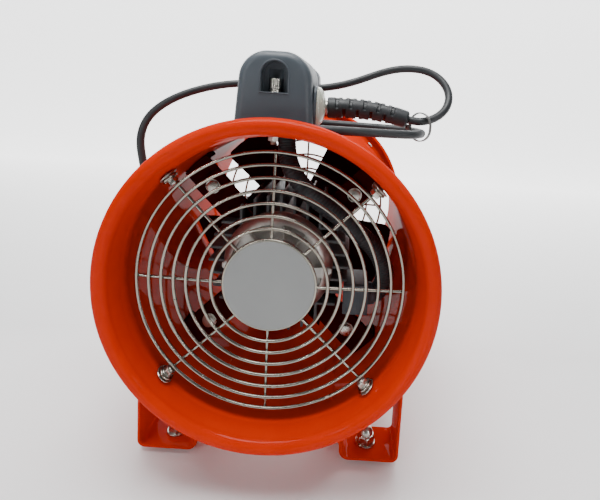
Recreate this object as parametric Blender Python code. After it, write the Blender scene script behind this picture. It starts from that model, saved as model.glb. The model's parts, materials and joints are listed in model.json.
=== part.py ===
"""A portable 12-inch axial ventilator: a sheet-steel duct on four welded feet, with a finned
motor, an impeller, two wire guards, a carrying handle that holds the switch, and a power cord.

Metres, +Z up, the intake end faces -Y. The origin is on the floor under the middle of the duct.
Depths along the duct are measured backwards from the plane of the front rim.
"""

from math import cos, pi, radians, sin, sqrt

import bmesh
import bpy
import numpy as np
from mathutils import Matrix, Vector

# ---- driving dimensions -------------------------------------------------------------------
GAP = 0.0003
FAR = 0.3
AXIS_Z = 0.227
RIM_PLANE = 0.192
BORE_R = 0.150
SHEET = 0.002
DUCT_R = BORE_R + SHEET
BEAD_R = 0.008
RIM_R = 0.170
DUCT_SIDES = 40

FOOT_X = 0.150
FOOT_SHEET = 0.003
FOOT_DEPTHS = (0.053, 0.103)
FOOT_BASE_Z = 0.006
FOOT_NUT_X = 0.113
FOOT_BEND = 0.007
FOOT_INNER_X = 0.093
FOOT_INNER_BEND = 0.010
FOOT_LEAN_DEG = 22
FOOT_RISE = 0.0725
STUD_TOP = 0.0135

RING_R = [0.059 + 0.01275 * i for i in range(7)]
DISC_R = 0.047
REAR_DISC_R = 0.020
WIRE_R = 0.0017
GUARD_DEPTH = 0.0145
GUARD_DOME = 0.0045
GUARD_BOLT_DEPTH = 0.019
EYE_R = 0.0070
EYE_RADIUS = 0.1455
REAR_RING_STEP = 0.0255

MOTOR_FRONT = 0.072
MOTOR_BACK = 0.190
MOTOR_CORE_R = 0.057
MOTOR_FIN_R = 0.080
FIN_PITCH = 0.0148
STACK_DEPTHS = (0.102, 0.162)
SHAFT_R = 0.0075
EAR_DEPTH = 0.088
EAR_SHEET = 0.005
EAR_BOLT_R = 0.115
EAR_END_R = 0.1275
ARM_HALF = 0.017
ARM_INNER_R = 0.097
ARM_SHEET = 0.004
ARM_FLANGE = 0.029
MOUNT_HOLE_R = 0.0039
STATOR_R = 0.0501
BEARING_R = 0.0178
BEARING_WIDTH = 0.011
HUB_FRONT = 0.216
HUB_BACK = 0.270
TIP_R = 0.1455
BLADE_ROOT_R = 0.040
BLADES = 5
FIRST_BLADE_DEG = 52

HANDLE_X = -0.006
POST_DEPTHS = (0.028, 0.118)
REAR_POST_DEPTHS = (0.266, 0.316)
HANDLE_TOP = AXIS_Z + 0.234
GRIP_BASE = AXIS_Z + 0.208
POST_HALVES = (0.0425, 0.0370)
POST_CORNER = 0.029
REAR_POST_HALVES = (0.0330, 0.0255)
REAR_POST_CORNER = 0.020
POST_WALL = 0.0035
SCREW_DEPTH = 0.038
POCKET_HALF = 0.0132
POCKET_DEEP = 0.013
POCKET_FLOOR = AXIS_Z + 0.1925
POCKET_SHOULDER = AXIS_Z + 0.2105

SWITCH_DEPTH = 0.054
SWITCH_Z = AXIS_Z + 0.181
SEAT_X = 0.0325
PLATE_X = SEAT_X + GAP
FACE_X = PLATE_X + 0.0028
GLAND_DEPTH = 0.088
GLAND_Z = AXIS_Z + 0.1795

ROCKER_PIVOT_X = SEAT_X + 0.0002
ROCKER_REST_DEG = 8.0

CORD_R = 0.0045
CORD_SPACING = 0.0245
COIL_CENTRE = (-0.062, 0.234)
COIL_R = 0.0495
COIL_ROWS = 2
LANE_R = COIL_R + CORD_R * COIL_ROWS + CORD_R + GAP

PIN_SPACING = 0.0127
PIN_HALF_X = 0.0008
PIN_HALF_Z = 0.0032

LEAD_R = 0.0105
LEAD_DEPTH = 0.090
LEAD_SPACING = 0.009
LEAD_HOLE_R = 0.0143
BOX_WALL = 0.0025
CAPACITOR_R = 0.0110
CORNERS = ("upper_right", "upper_left", "lower_left", "lower_right")


def at_depth(depth):
    """The Y coordinate of a depth behind the front rim's plane."""
    return depth - RIM_PLANE


def diagonal(k):
    """The angle of one of the four corners, counted from the upper right one."""
    return radians(45 + 90 * k)


def route_point(x, depth, height):
    """A point in metres from an X, a depth and a height over the fan's axis in millimetres."""
    return (x / 1000, at_depth(depth / 1000), AXIS_Z + height / 1000)


# ---- routes of the flexible pieces ----------------------------------------------------------
BOOT_START = 0.0450
BOOT_R = 0.0117
BOOT_TAPER = 0.0022
BOOT_ROUTE = [
    (BOOT_START, at_depth(GLAND_DEPTH), GLAND_Z),
    (0.070, at_depth(0.0875), AXIS_Z + 0.1802),
    (0.094, at_depth(0.0860), AXIS_Z + 0.1790),
    (0.114, at_depth(0.0840), AXIS_Z + 0.1762),
    (0.1325, at_depth(0.0822), AXIS_Z + 0.1722),
]
CORD_ROUTE = [
    route_point(145.4, 80.7, 170.4),
    route_point(163.9, 83.3, 174.9),
    route_point(177.4, 91.4, 185.9),
    route_point(182.4, 102.5, 200.7),
    route_point(177.4, 113.6, 215.5),
    route_point(163.9, 121.7, 226.3),
    route_point(145.4, 124.7, 230.3),
    route_point(112, 128.5, 226),
    route_point(78, 131, 213),
    route_point(38, 131.5, 202),
    route_point(0, 131.5, 199.5),
    route_point(-42, 130, 201.5),
    route_point(-80, 126, 198.5),
    route_point(-118, 119, 188),
    route_point(-147, 110, 172.5),
    route_point(-166, 104, 152),
    route_point(-171.5, 100, 130),
    route_point(-168, 98, 105),
    route_point(-162.5, 97.5, 76),
    route_point(-159.5, 97.5, 46),
    route_point(-159, 92.1, 26),
    route_point(-158.5, 77.5, 11.4),
    route_point(-158.5, 57.5, 6),
    route_point(-158.5, 37.5, 11.4),
    route_point(-158.5, 22.9, 26),
    route_point(-156.5, 17.5, 46),
    route_point(-140, 16.5, 84),
    route_point(-115, 16.5, 115),
    route_point(-80, 17, 141),
    route_point(-40, 17.5, 156),
    route_point(0, 18, 160),
    route_point(40, 19.5, 160),
    route_point(77, 29.0, 159.3),
    route_point(100, 35.7, 158.7),
    route_point(121.6, 42, 158.3),
    route_point(130.5, 45.7, 158.1),
    route_point(144.8, 60, 158),
    route_point(150, 79.5, 157.9),
    route_point(144.8, 99, 158),
    route_point(130.5, 113.3, 158.1),
    route_point(116.8, 118.1, 158.3),
    route_point(100, 120.8, 158.4),
    route_point(77, 124.5, 158.5),
    route_point(38, 130, 158.5),
    route_point(0, 132, 158.3),
    route_point(-40, 135, 154),
    route_point(-80, 139, 137),
    route_point(-113, 145, 112),
    route_point(-138, 153, 78),
    route_point(-153, 164, 40),
    route_point(-159, 178, 0),
    route_point(-161, 194, -50),
    route_point(-162, 212, -105),
    route_point(-163, 232, -158),
    route_point(-163, 258, -199),
    route_point(-161, 297, -218),
    route_point(-152, 340, -222.2),
    route_point(-136, 380, -222.3),
]
LEAD_ROUTE = [
    route_point(0, 90, 146.3),
    route_point(2, 86, 128),
    route_point(12, 70, 106.5),
    route_point(29, 60, 89.5),
    route_point(45, 59, 77),
    route_point(65, 60, 63),
    route_point(86, 63, 46),
    route_point(105, 70, 28),
    route_point(117, 78, 8),
    route_point(121.5, 82, -8),
    route_point(120, 84, -20),
    route_point(116, 85, -29),
    route_point(114.0, 85, -32.2),
    route_point(109.6, 85, -33.6),
]
BOX_LOW = (0.0753, at_depth(0.0660), AXIS_Z - 0.0505)
BOX_HIGH = (0.1035, at_depth(0.1120), AXIS_Z - 0.0170)


# ---- materials ----------------------------------------------------------------------------
PAINTS = {
    "orange_enamel": ((0.62, 0.075, 0.012), 0.32, 0.0),
    "dark_red_enamel": ((0.20, 0.015, 0.010), 0.40, 0.0),
    "bright_wire": ((0.62, 0.60, 0.56), 0.25, 1.0),
    "zinc": ((0.66, 0.65, 0.62), 0.30, 1.0),
    "cast_alloy": ((0.50, 0.50, 0.49), 0.45, 1.0),
    "motor_grey": ((0.16, 0.16, 0.17), 0.45, 0.3),
    "steel": ((0.50, 0.50, 0.50), 0.30, 1.0),
    "copper": ((0.60, 0.24, 0.10), 0.40, 1.0),
    "black_plastic": ((0.035, 0.037, 0.040), 0.45, 0.0),
    "black_rubber": ((0.022, 0.022, 0.023), 0.60, 0.0),
    "grey_label": ((0.62, 0.62, 0.64), 0.45, 0.0),
    "clear_cover": ((0.80, 0.80, 0.74), 0.20, 0.0),
    "rocker_red": ((0.45, 0.03, 0.02), 0.35, 0.0),
    "nylon": ((0.75, 0.74, 0.70), 0.40, 0.0),
}


def make_material(name):
    colour, roughness, metallic = PAINTS[name]
    material = bpy.data.materials.new(name)
    material.use_nodes = True
    shader = material.node_tree.nodes["Principled BSDF"]
    shader.inputs["Base Color"].default_value = (*colour, 1.0)
    shader.inputs["Roughness"].default_value = roughness
    shader.inputs["Metallic"].default_value = metallic
    return material


# ---- modelling helpers --------------------------------------------------------------------
def clear_scene():
    for item in list(bpy.data.objects):
        bpy.data.objects.remove(item, do_unlink=True)


def finish(name, mesh, paint, parent=None, at=(0.0, 0.0, 0.0)):
    """Wraps a mesh in an object with its material and soft shading."""
    mesh.materials.clear()
    mesh.materials.append(MATERIALS[paint])
    mesh.shade_smooth()
    mesh.set_sharp_from_angle(angle=radians(32))
    item = bpy.data.objects.new(name, mesh)
    bpy.context.scene.collection.objects.link(item)
    item.location = at
    if parent:
        item.parent = parent
    return item


def mesh_from(rings, closed_length=False, cap=True):
    """Skins rings of points. A ring of one point is a pole. The mesh faces outwards."""
    work = bmesh.new()
    rows = [[work.verts.new(point) for point in ring] for ring in rings]
    pairs = list(zip(rows, rows[1:]))
    if closed_length:
        pairs.append((rows[-1], rows[0]))
    for low, high in pairs:
        count = max(len(low), len(high))
        for i in range(count):
            j = (i + 1) % count
            if len(low) == 1:
                work.faces.new((low[0], high[j], high[i]))
            elif len(high) == 1:
                work.faces.new((low[i], low[j], high[0]))
            else:
                work.faces.new((low[i], low[j], high[j], high[i]))
    if cap and not closed_length:
        for row in (rows[0], rows[-1]):
            if len(row) > 2:
                work.faces.new(row)
    bmesh.ops.recalc_face_normals(work, faces=work.faces)
    mesh = bpy.data.meshes.new("shape")
    work.to_mesh(mesh)
    work.free()
    return mesh


AXES = {
    "X": lambda u, v, w: Vector((w, u, v)),
    "Y": lambda u, v, w: Vector((u, w, v)),
    "Z": lambda u, v, w: Vector((u, v, w)),
}


def turned(name, profile, paint, axis="Y", sides=24, closed=False, at=(0.0, 0.0, 0.0), parent=None):
    """A turned solid: profile points are (radius, distance along the axis)."""
    place = AXES[axis]
    angles = [2 * pi * i / sides for i in range(sides)]
    rings = []
    for radius, along in profile:
        if radius == 0.0:
            rings.append([place(0.0, 0.0, along)])
        else:
            rings.append([place(radius * cos(a), radius * sin(a), along) for a in angles])
    return finish(name, mesh_from(rings, closed_length=closed), paint, parent, at)


def prism(name, outline, start, end, paint, axis="Y", at=(0.0, 0.0, 0.0), parent=None):
    """An outline drawn across an axis and extruded along it."""
    place = AXES[axis]
    rings = [[place(u, v, w) for u, v in outline] for w in (start, end)]
    return finish(name, mesh_from(rings), paint, parent, at)


def block(name, low, high, paint):
    outline = [(low[0], low[2]), (high[0], low[2]), (high[0], high[2]), (low[0], high[2])]
    return prism(name, outline, low[1], high[1], paint)


def rotated(points, angle):
    """Turns flat points about the middle."""
    return [(u * cos(angle) - v * sin(angle), u * sin(angle) + v * cos(angle)) for u, v in points]


def peg(name, radius, start, end, axis, sides, at, paint="steel"):
    """A plain round rod, used for holes and shanks."""
    profile = [(0.0, start), (radius, start), (radius, end), (0.0, end)]
    return turned(name, profile, paint, axis=axis, sides=sides, at=at)


def bake(target):
    """Replaces an object's mesh by its evaluated one."""
    bpy.context.view_layer.update()
    graph = bpy.context.evaluated_depsgraph_get()
    mesh = bpy.data.meshes.new_from_object(target.evaluated_get(graph))
    paint = target.data.materials[0]
    target.modifiers.clear()
    target.data = mesh
    mesh.materials.clear()
    mesh.materials.append(paint)
    mesh.shade_smooth()
    mesh.set_sharp_from_angle(angle=radians(32))


def combine(target, others, operation):
    """Joins or cuts the target with each of the other objects, which are used up."""
    for other in others:
        modifier = target.modifiers.new("combine", "BOOLEAN")
        modifier.operation = operation
        modifier.solver = "EXACT"
        modifier.object = other
        bake(target)
        bpy.data.objects.remove(other, do_unlink=True)
    return target


def swept_mesh(points, radii, sides):
    """A tube along points, with its own radius at each, and flat ends."""
    path = [Vector(point) for point in points]
    rings = []
    side = None
    for i, point in enumerate(path):
        ahead = (path[min(i + 1, len(path) - 1)] - path[max(i - 1, 0)]).normalized()
        if side is None:
            side = ahead.orthogonal().normalized()
        side = (side - ahead * side.dot(ahead)).normalized()
        up = ahead.cross(side)
        angles = [2 * pi * k / sides for k in range(sides)]
        rings.append([point + radii[i] * (side * cos(a) + up * sin(a)) for a in angles])
    return mesh_from(rings)


def swept(name, points, radii, sides, paint):
    return finish(name, swept_mesh(points, radii, sides), paint)


def smooth_route(points, spacing):
    """Evenly spaced points on the natural cubic spline through a route's points."""
    knots = np.array(points, dtype=float)
    steps = np.linalg.norm(np.diff(knots, axis=0), axis=1)
    count = len(knots)
    system = np.eye(count)
    right = np.zeros((count, 3))
    for i in range(1, count - 1):
        system[i, i - 1 : i + 2] = (steps[i - 1], 2 * (steps[i - 1] + steps[i]), steps[i])
        change = (knots[i + 1] - knots[i]) / steps[i] - (knots[i] - knots[i - 1]) / steps[i - 1]
        right[i] = 6 * change
    bend = np.linalg.solve(system, right)
    fine = []
    for i, step in enumerate(steps):
        for t in np.linspace(0.0, step, 40, endpoint=False):
            back = step - t
            point = (bend[i] * back**3 + bend[i + 1] * t**3) / (6 * step)
            point = point + (knots[i] / step - bend[i] * step / 6) * back
            point = point + (knots[i + 1] / step - bend[i + 1] * step / 6) * t
            fine.append(point)
    fine.append(knots[-1])
    fine = np.array(fine)
    run = np.concatenate([[0.0], np.cumsum(np.linalg.norm(np.diff(fine, axis=0), axis=1))])
    stations = np.linspace(0.0, run[-1], int(round(run[-1] / spacing)) + 1)
    return np.stack([np.interp(stations, run, fine[:, k]) for k in range(3)], axis=1)


def arc(centre, radius, start, end, count):
    """Points on an arc, angles in degrees."""
    angles = [radians(start + (end - start) * i / (count - 1)) for i in range(count)]
    return [(centre[0] + radius * cos(a), centre[1] + radius * sin(a)) for a in angles]


def hexagon(across_flats, phase=0.0):
    radius = across_flats / 2 / cos(pi / 6)
    return [(radius * cos(phase + pi * i / 3), radius * sin(phase + pi * i / 3)) for i in range(6)]


def around(point, angle):
    """Turns a point about the fan's axis, which is at height AXIS_Z."""
    x, y, z = point
    return Vector((x * cos(angle) - z * sin(angle), y, AXIS_Z + x * sin(angle) + z * cos(angle)))


def radial_turned(name, profile, angle, y, paint, sides=12):
    """A turned piece on a spoke of the duct: distances are radii from the fan's axis."""
    item = turned(name, profile, paint, axis="X", sides=sides)
    item.data.transform(Matrix.Rotation(-angle, 4, "Y"))
    item.location = (0.0, y, AXIS_Z)
    return item


def radial_hexagon(name, start, end, across_flats, angle, y, paint):
    item = prism(name, hexagon(across_flats), start, end, paint, axis="X")
    item.data.transform(Matrix.Rotation(-angle, 4, "Y"))
    item.location = (0.0, y, AXIS_Z)
    return item


# ---- duct ---------------------------------------------------------------------------------
def offset_path(path, distance):
    """Moves a polyline sideways, keeping its corners mitred."""
    moved = []
    for i, point in enumerate(path):
        before = Vector(path[i]) - Vector(path[max(i - 1, 0)])
        after = Vector(path[min(i + 1, len(path) - 1)]) - Vector(path[i])
        before = before.normalized() if before.length else after.normalized()
        after = after.normalized() if after.length else before
        mean = (before + after).normalized()
        normal = Vector((-mean.y, mean.x))
        reach = distance / max(0.5, mean.dot(before))
        moved.append(tuple(Vector(point) + normal * reach))
    return moved


def rolled_edge():
    """The sheet's middle line at the front end, from the curled edge to the plain duct."""
    middle = BEAD_R - SHEET / 2
    centre = (RIM_R - BEAD_R, -RIM_PLANE)
    curl = arc(centre, middle, 60.0, -180.0, 6)
    return curl + [(BORE_R + SHEET / 2 + 0.0008, at_depth(0.016)), (BORE_R + SHEET / 2, at_depth(0.030))]


def duct_holes():
    """Cutters for everything that passes through the duct's wall."""
    cutters = []
    near, far = BORE_R - 0.010, BORE_R + 0.010
    bolt_hole = [(0.0, near), (0.0037, near), (0.0037, far), (0.0, far)]
    for bolt_y in (at_depth(GUARD_BOLT_DEPTH), -at_depth(GUARD_BOLT_DEPTH)):
        for k in range(4):
            cutters.append(radial_turned("cut_bolt", bolt_hole, diagonal(k), bolt_y, "steel", 8))
    for y in handle_screw_ys():
        cutters.append(peg("cut_screw", 0.0036, near, far, "Z", 8, (HANDLE_X, y, AXIS_Z)))
    cutters.append(peg("cut_lead", LEAD_HOLE_R, near, far, "Z", 16, (0.0, at_depth(LEAD_DEPTH), AXIS_Z)))
    return cutters


def handle_screw_ys():
    return (at_depth(SCREW_DEPTH), at_depth(REAR_POST_DEPTHS[1] - 0.010))


def make_duct():
    front = rolled_edge()
    rear = [(r, -y) for r, y in reversed(front)]
    middle = front + rear
    outline = offset_path(middle, SHEET / 2) + list(reversed(offset_path(middle, -SHEET / 2)))
    duct = turned("duct_casing", outline, "orange_enamel", sides=DUCT_SIDES, closed=True, at=(0, 0, AXIS_Z))
    return combine(duct, duct_holes(), "DIFFERENCE")


def duct_cutter(name, radius=DUCT_R + GAP):
    """A cylinder that clears the duct's faceted outside."""
    return peg(name, radius / cos(pi / DUCT_SIDES), -FAR, FAR, "Y", DUCT_SIDES, (0, 0, AXIS_Z))


# ---- feet ---------------------------------------------------------------------------------
def foot_middle_line(side):
    """The bent sheet's middle line: outer wall, floor and the inner wall that leans inwards."""
    half = FOOT_SHEET / 2
    outer = FOOT_X - half
    floor = FOOT_BASE_Z + half
    line = [(outer, AXIS_Z - 0.034), (outer, floor + FOOT_BEND)]
    line += arc((outer - FOOT_BEND, floor + FOOT_BEND), FOOT_BEND, 0, -90, 4)[1:]
    centre = (FOOT_INNER_X, floor + FOOT_INNER_BEND)
    line += arc(centre, FOOT_INNER_BEND, -90, -180 - FOOT_LEAN_DEG, 5)
    last = line[-1]
    lean = radians(FOOT_LEAN_DEG)
    line.append((last[0] - FOOT_RISE * sin(lean), last[1] + FOOT_RISE * cos(lean)))
    return [(side * x, z) for x, z in line]


def make_foot(name, side, start, end):
    line = foot_middle_line(side)
    outline = offset_path(line, FOOT_SHEET / 2) + list(reversed(offset_path(line, -FOOT_SHEET / 2)))
    foot = prism(name, outline, start, end, "orange_enamel")
    middle = (side * FOOT_NUT_X, (start + end) / 2, 0.0)
    stud_hole = peg("cut_stud", 0.0064, -0.01, 0.03, "Z", 16, middle)
    return combine(foot, [stud_hole, duct_cutter("cut_duct")], "DIFFERENCE")


def make_rubber_foot(name, x, y):
    """A rubber foot with its moulded-in steel stud, as one body."""
    top = FOOT_BASE_Z - GAP
    stud_r = 0.0058
    profile = [(0.0, 0.0), (0.0125, 0.0), (0.0140, 0.0015), (0.0132, top)]
    profile += [(stud_r, top), (stud_r, STUD_TOP), (0.0, STUD_TOP)]
    return turned(name, profile, "black_rubber", axis="Z", sides=12, at=(x, y, 0.0))


def make_cap_nut(name, x, y):
    """A domed M12 nut with its washer, hollow over the stud."""
    base = FOOT_BASE_Z + FOOT_SHEET + GAP
    washer = [(0.0061, 0.0), (0.0120, 0.0), (0.0120, 0.0018), (0.0061, 0.0018)]
    nut = turned(name, washer, "zinc", axis="Z", sides=12, closed=True, at=(x, y, base))
    hexed = prism("hex", hexagon(0.019, radians(12)), 0.0015, 0.0115, "zinc", axis="Z", at=(x, y, base))
    dome = [(0.0, 0.0105), (0.0086, 0.0105), (0.0080, 0.0160), (0.0048, 0.0204), (0.0, 0.0218)]
    cap = turned("cap", dome, "zinc", axis="Z", sides=10, at=(x, y, base))
    bore = [(0.0, -0.002), (0.0061, -0.002), (0.0061, 0.010), (0.0, 0.012)]
    drill = turned("drill", bore, "zinc", axis="Z", sides=10, at=(x, y, base))
    return combine(combine(nut, [hexed, cap], "UNION"), [drill], "DIFFERENCE")


def make_feet():
    near, far = (at_depth(depth) for depth in FOOT_DEPTHS)
    middle = (near + far) / 2
    for end, flip in (("front", 1), ("rear", -1)):
        for hand, side in (("left", -1), ("right", 1)):
            ys = sorted((flip * near, flip * far))
            make_foot(f"foot_{end}_{hand}", side, ys[0], ys[1])
            make_rubber_foot(f"rubber_foot_{end}_{hand}", side * FOOT_NUT_X, flip * middle)
            make_cap_nut(f"cap_nut_{end}_{hand}", side * FOOT_NUT_X, flip * middle)


# ---- guards -------------------------------------------------------------------------------
def guard_dish(radius):
    """Depth of the wire rings at a radius: the guard is slightly domed."""
    return GUARD_DEPTH + GUARD_DOME * (radius / RING_R[-1]) ** 2


def wire_profile(radius, along, wire_r):
    """The section of a ring of wire."""
    steps = ((1, 0), (0, 1), (-1, 0), (0, -1))
    return [(radius + wire_r * u, along + wire_r * v) for u, v in steps]


PLATE_DEPTH = guard_dish(DISC_R) + 0.0010


def make_guard(name, flip, radii, sides, plate_r):
    """Rings on eight radial wires, four of which end in eyes for the guard's bolts."""
    def to_y(depth):
        return flip * at_depth(depth)

    centre = (0.0, 0.0, AXIS_Z)
    plate = (to_y(PLATE_DEPTH), to_y(PLATE_DEPTH + 0.003))
    guard = peg(name, plate_r, *plate, "Y", sides, centre, "bright_wire")
    spokes = []
    sunk = WIRE_R * 1.5
    for k in range(8):
        angle = k * pi / 4
        stops = [plate_r - 0.004, 0.090, RING_R[-1]]
        path = [around((r, to_y(guard_dish(r) + sunk), 0.0), angle) for r in stops]
        spokes.append(swept(f"spoke_{k}", path, [WIRE_R] * 3, 4, "bright_wire"))
    combine(guard, spokes, "UNION")
    rings = []
    for i, radius in enumerate(radii):
        profile = wire_profile(radius, to_y(guard_dish(radius)), WIRE_R)
        rings.append(turned(f"ring_{i}", profile, "bright_wire", sides=sides, closed=True, at=centre))
    combine(guard, rings, "UNION")
    eyes = []
    for k in range(4):
        profile = wire_profile(EYE_R, EYE_RADIUS, WIRE_R * 0.9)
        item = turned(f"eye_{k}", profile, "bright_wire", axis="X", sides=8, closed=True)
        item.data.transform(Matrix.Rotation(-diagonal(k), 4, "Y"))
        item.location = (0.0, to_y(GUARD_BOLT_DEPTH), AXIS_Z)
        eyes.append(item)
        back = GUARD_BOLT_DEPTH + EYE_R
        stops = [
            (RING_R[-1] - 0.002, guard_dish(RING_R[-1]) + sunk),
            (RING_R[-1] + 0.0025, back + 0.0012),
            (EYE_RADIUS, back + 0.0004),
        ]
        path = [around((radius, to_y(depth), 0.0), diagonal(k)) for radius, depth in stops]
        eyes.append(swept(f"neck_{k}", path, [WIRE_R * 0.93] * 3, 4, "bright_wire"))
    return combine(guard, eyes, "UNION")


def make_guard_bolt(name, angle, y):
    """A button-head screw through the duct's wall, with a washer and a nut on the wire's eye."""
    shank_r = 0.0030
    inside = 0.1475
    outside = 0.1534
    screw = [
        (0.0, 0.1382), (shank_r, 0.1382),
        (shank_r, inside), (0.0095, inside), (0.0095, inside + 0.0012), (shank_r, inside + 0.0012),
        (shank_r, outside), (0.0055, outside), (0.0045, outside + 0.0020), (0.0, outside + 0.0026),
    ]
    bolt = radial_turned(name, screw, angle, y, "zinc", 8)
    nut = radial_hexagon("nut", 0.1388, 0.1436, 0.010, angle, y, "zinc")
    return combine(bolt, [nut], "UNION")


def make_guards():
    make_guard("front_guard", 1, RING_R, 24, DISC_R)
    rear_radii = [RING_R[-1] - REAR_RING_STEP * i for i in range(4)]
    make_guard("rear_guard", -1, rear_radii, 20, REAR_DISC_R)
    for end, flip in (("front", 1), ("rear", -1)):
        for k, corner in enumerate(CORNERS):
            make_guard_bolt(f"{end}_guard_bolt_{corner}", diagonal(k), flip * at_depth(GUARD_BOLT_DEPTH))
    y = at_depth(PLATE_DEPTH) - GAP
    face = y - 0.0018
    badge_r = DISC_R - 0.001
    badge = [(0.0, y), (badge_r, y), (badge_r, y - 0.0012), (badge_r - 0.001, face), (0.0, face)]
    turned("badge_disc", badge, "grey_label", sides=24, at=(0, 0, AXIS_Z))


# ---- motor --------------------------------------------------------------------------------
def fin_outline():
    """The frame's section: a round core with seven straight fins on each quarter."""
    points = []
    thick = 0.0015
    for quarter in range(4):
        turn = -quarter * pi / 2
        for i in range(-3, 4):
            u = i * FIN_PITCH
            left, right = u - thick, u + thick
            bases = [max(sqrt(MOTOR_CORE_R**2 - x**2), abs(x) + 0.0006) for x in (left, right)]
            local = [
                (left, bases[0]),
                (left, sqrt(MOTOR_FIN_R**2 - left**2)),
                (right, sqrt(MOTOR_FIN_R**2 - right**2)),
                (right, bases[1]),
            ]
            points += [(x * cos(turn) - z * sin(turn), x * sin(turn) + z * cos(turn)) for x, z in local]
    return points


def ear_outline(angle):
    """A flat arm of the frame that carries one mounting bolt near its squared end."""
    root, tip = 0.054, EAR_END_R
    clip = 0.002
    upper = [(tip, ARM_HALF - clip), (tip - clip, ARM_HALF), (root, ARM_HALF)]
    lower = [(u, -v) for u, v in reversed(upper)]
    return rotated(lower + upper, angle)


def mount_place(angle):
    """The axis of the mounting bolt at one corner."""
    return (EAR_BOLT_R * cos(angle), 0.0, AXIS_Z + EAR_BOLT_R * sin(angle))


def make_motor_frame():
    centre = (0.0, 0.0, AXIS_Z)
    length = (at_depth(MOTOR_FRONT), at_depth(MOTOR_BACK))
    frame = prism("motor_frame", fin_outline(), *length, "motor_grey", at=centre)
    start = at_depth(EAR_DEPTH)
    ears = []
    for k in range(4):
        ears.append(prism("ear", ear_outline(diagonal(k)), start, start + EAR_SHEET, "motor_grey", at=centre))
    combine(frame, ears, "UNION")
    cutters = [peg("bore", STATOR_R + 0.0007, -FAR, FAR, "Y", 20, centre)]
    cutters += [peg("hole", MOUNT_HOLE_R, -FAR, FAR, "Y", 10, mount_place(diagonal(k))) for k in range(4)]
    return combine(frame, cutters, "DIFFERENCE")


def make_mount_arm(name, angle):
    """A bent plate from the duct's wall to an ear's bolt."""
    centre = (0.0, 0.0, AXIS_Z)
    front = at_depth(EAR_DEPTH) + EAR_SHEET + GAP
    wide = ARM_HALF
    reach = BORE_R * cos(pi / DUCT_SIDES) - 2 * GAP
    plate = [(ARM_INNER_R, -wide), (reach, -wide), (reach, wide), (ARM_INNER_R, wide)]
    arm = prism(name, rotated(plate, angle), front, front + ARM_SHEET, "dark_red_enamel", at=centre)
    bend = reach - ARM_SHEET
    flange = [(bend, -wide), (reach, -wide), (reach, wide), (bend, wide)]
    start = front + 0.001
    foot = prism("flange", rotated(flange, angle), start, start + ARM_FLANGE, "dark_red_enamel", at=centre)
    combine(arm, [foot], "UNION")
    inside = BORE_R * cos(pi / DUCT_SIDES) - GAP
    outside = BORE_R + 0.030
    near, far = front - 0.010, front + 0.050
    wall = [(inside, near), (outside, near), (outside, far), (inside, far)]
    trim = turned("trim", wall, "steel", sides=DUCT_SIDES * 2, closed=True, at=centre)
    drill = peg("drill", MOUNT_HOLE_R, -FAR, FAR, "Y", 10, mount_place(angle))
    return combine(arm, [trim, drill], "DIFFERENCE")


def make_mount_bolt(name, angle):
    """A hexagon bolt through an ear and its arm, with its nut."""
    place = mount_place(angle)
    front = at_depth(EAR_DEPTH) - GAP
    back = at_depth(EAR_DEPTH) + EAR_SHEET + ARM_SHEET + 2 * GAP
    across = 0.013
    bolt = peg(name, 0.0035, front - 0.002, back + 0.009, "Y", 8, place, "zinc")
    head = prism("head", hexagon(across), front - 0.0052, front, "zinc", at=place)
    nut = prism("nut", hexagon(across, radians(20)), back, back + 0.0062, "zinc", at=place)
    return combine(bolt, [head, nut], "UNION")


def make_front_shield(centre):
    """The cast cover at the intake end, with eight pockets in its face."""
    face = at_depth(MOTOR_FRONT) - GAP
    seat_r = BEARING_R + 0.004
    shield = [
        (0.0, face - 0.020), (0.028, face - 0.020), (0.053, face - 0.016), (0.060, face - 0.007),
        (0.0615, face), (0.052, face), (0.046, face - 0.003), (seat_r, face - 0.003), (seat_r, face + 0.006),
        (BEARING_R, face + 0.006), (BEARING_R, face - 0.012), (0.0, face - 0.012),
    ]
    cover = turned("front_end_shield", shield, "cast_alloy", sides=24, at=centre)
    pockets = []
    for k in range(8):
        flat = [(0.033, -0.0085), (0.051, -0.0140), (0.051, 0.0140), (0.033, 0.0085)]
        outline = rotated(flat, 2 * pi * (k + 0.5) / 8)
        pockets.append(prism("pocket", outline, face - 0.030, face - 0.0125, "cast_alloy", at=centre))
    return combine(cover, pockets, "DIFFERENCE")


def make_rear_shield(centre):
    """The cast cover that the shaft passes through."""
    face = at_depth(MOTOR_BACK) + GAP
    seat_r = BEARING_R + 0.004
    bore = SHAFT_R + 0.0015
    shield = [
        (0.060, face), (0.058, face + 0.005), (0.030, face + 0.013), (bore, face + 0.013),
        (bore, face + 0.010), (BEARING_R, face + 0.010), (BEARING_R, face - 0.006), (seat_r, face - 0.006),
        (seat_r, face + 0.003), (0.046, face + 0.003), (0.050, face),
    ]
    return turned("rear_end_shield", shield, "cast_alloy", sides=20, closed=True, at=centre)


def make_stator(centre):
    """The laminated stack with the winding's heads at both ends."""
    start, stop = (at_depth(depth) for depth in STACK_DEPTHS)
    winding = 0.012
    bore = 0.0303
    stator = [
        (STATOR_R, start), (STATOR_R, stop), (0.046, stop), (0.045, stop + winding), (0.034, stop + winding),
        (bore, stop), (bore, start), (0.034, start - winding), (0.045, start - winding), (0.046, start),
    ]
    return turned("stator", stator, "copper", sides=20, closed=True, at=centre)


def make_bearing(name, start, centre):
    inner, outer = SHAFT_R + GAP, BEARING_R - GAP
    end = start + BEARING_WIDTH
    ring = [(inner, start), (outer, start), (outer, end), (inner, end)]
    return turned(name, ring, "steel", sides=16, closed=True, at=centre)


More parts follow.
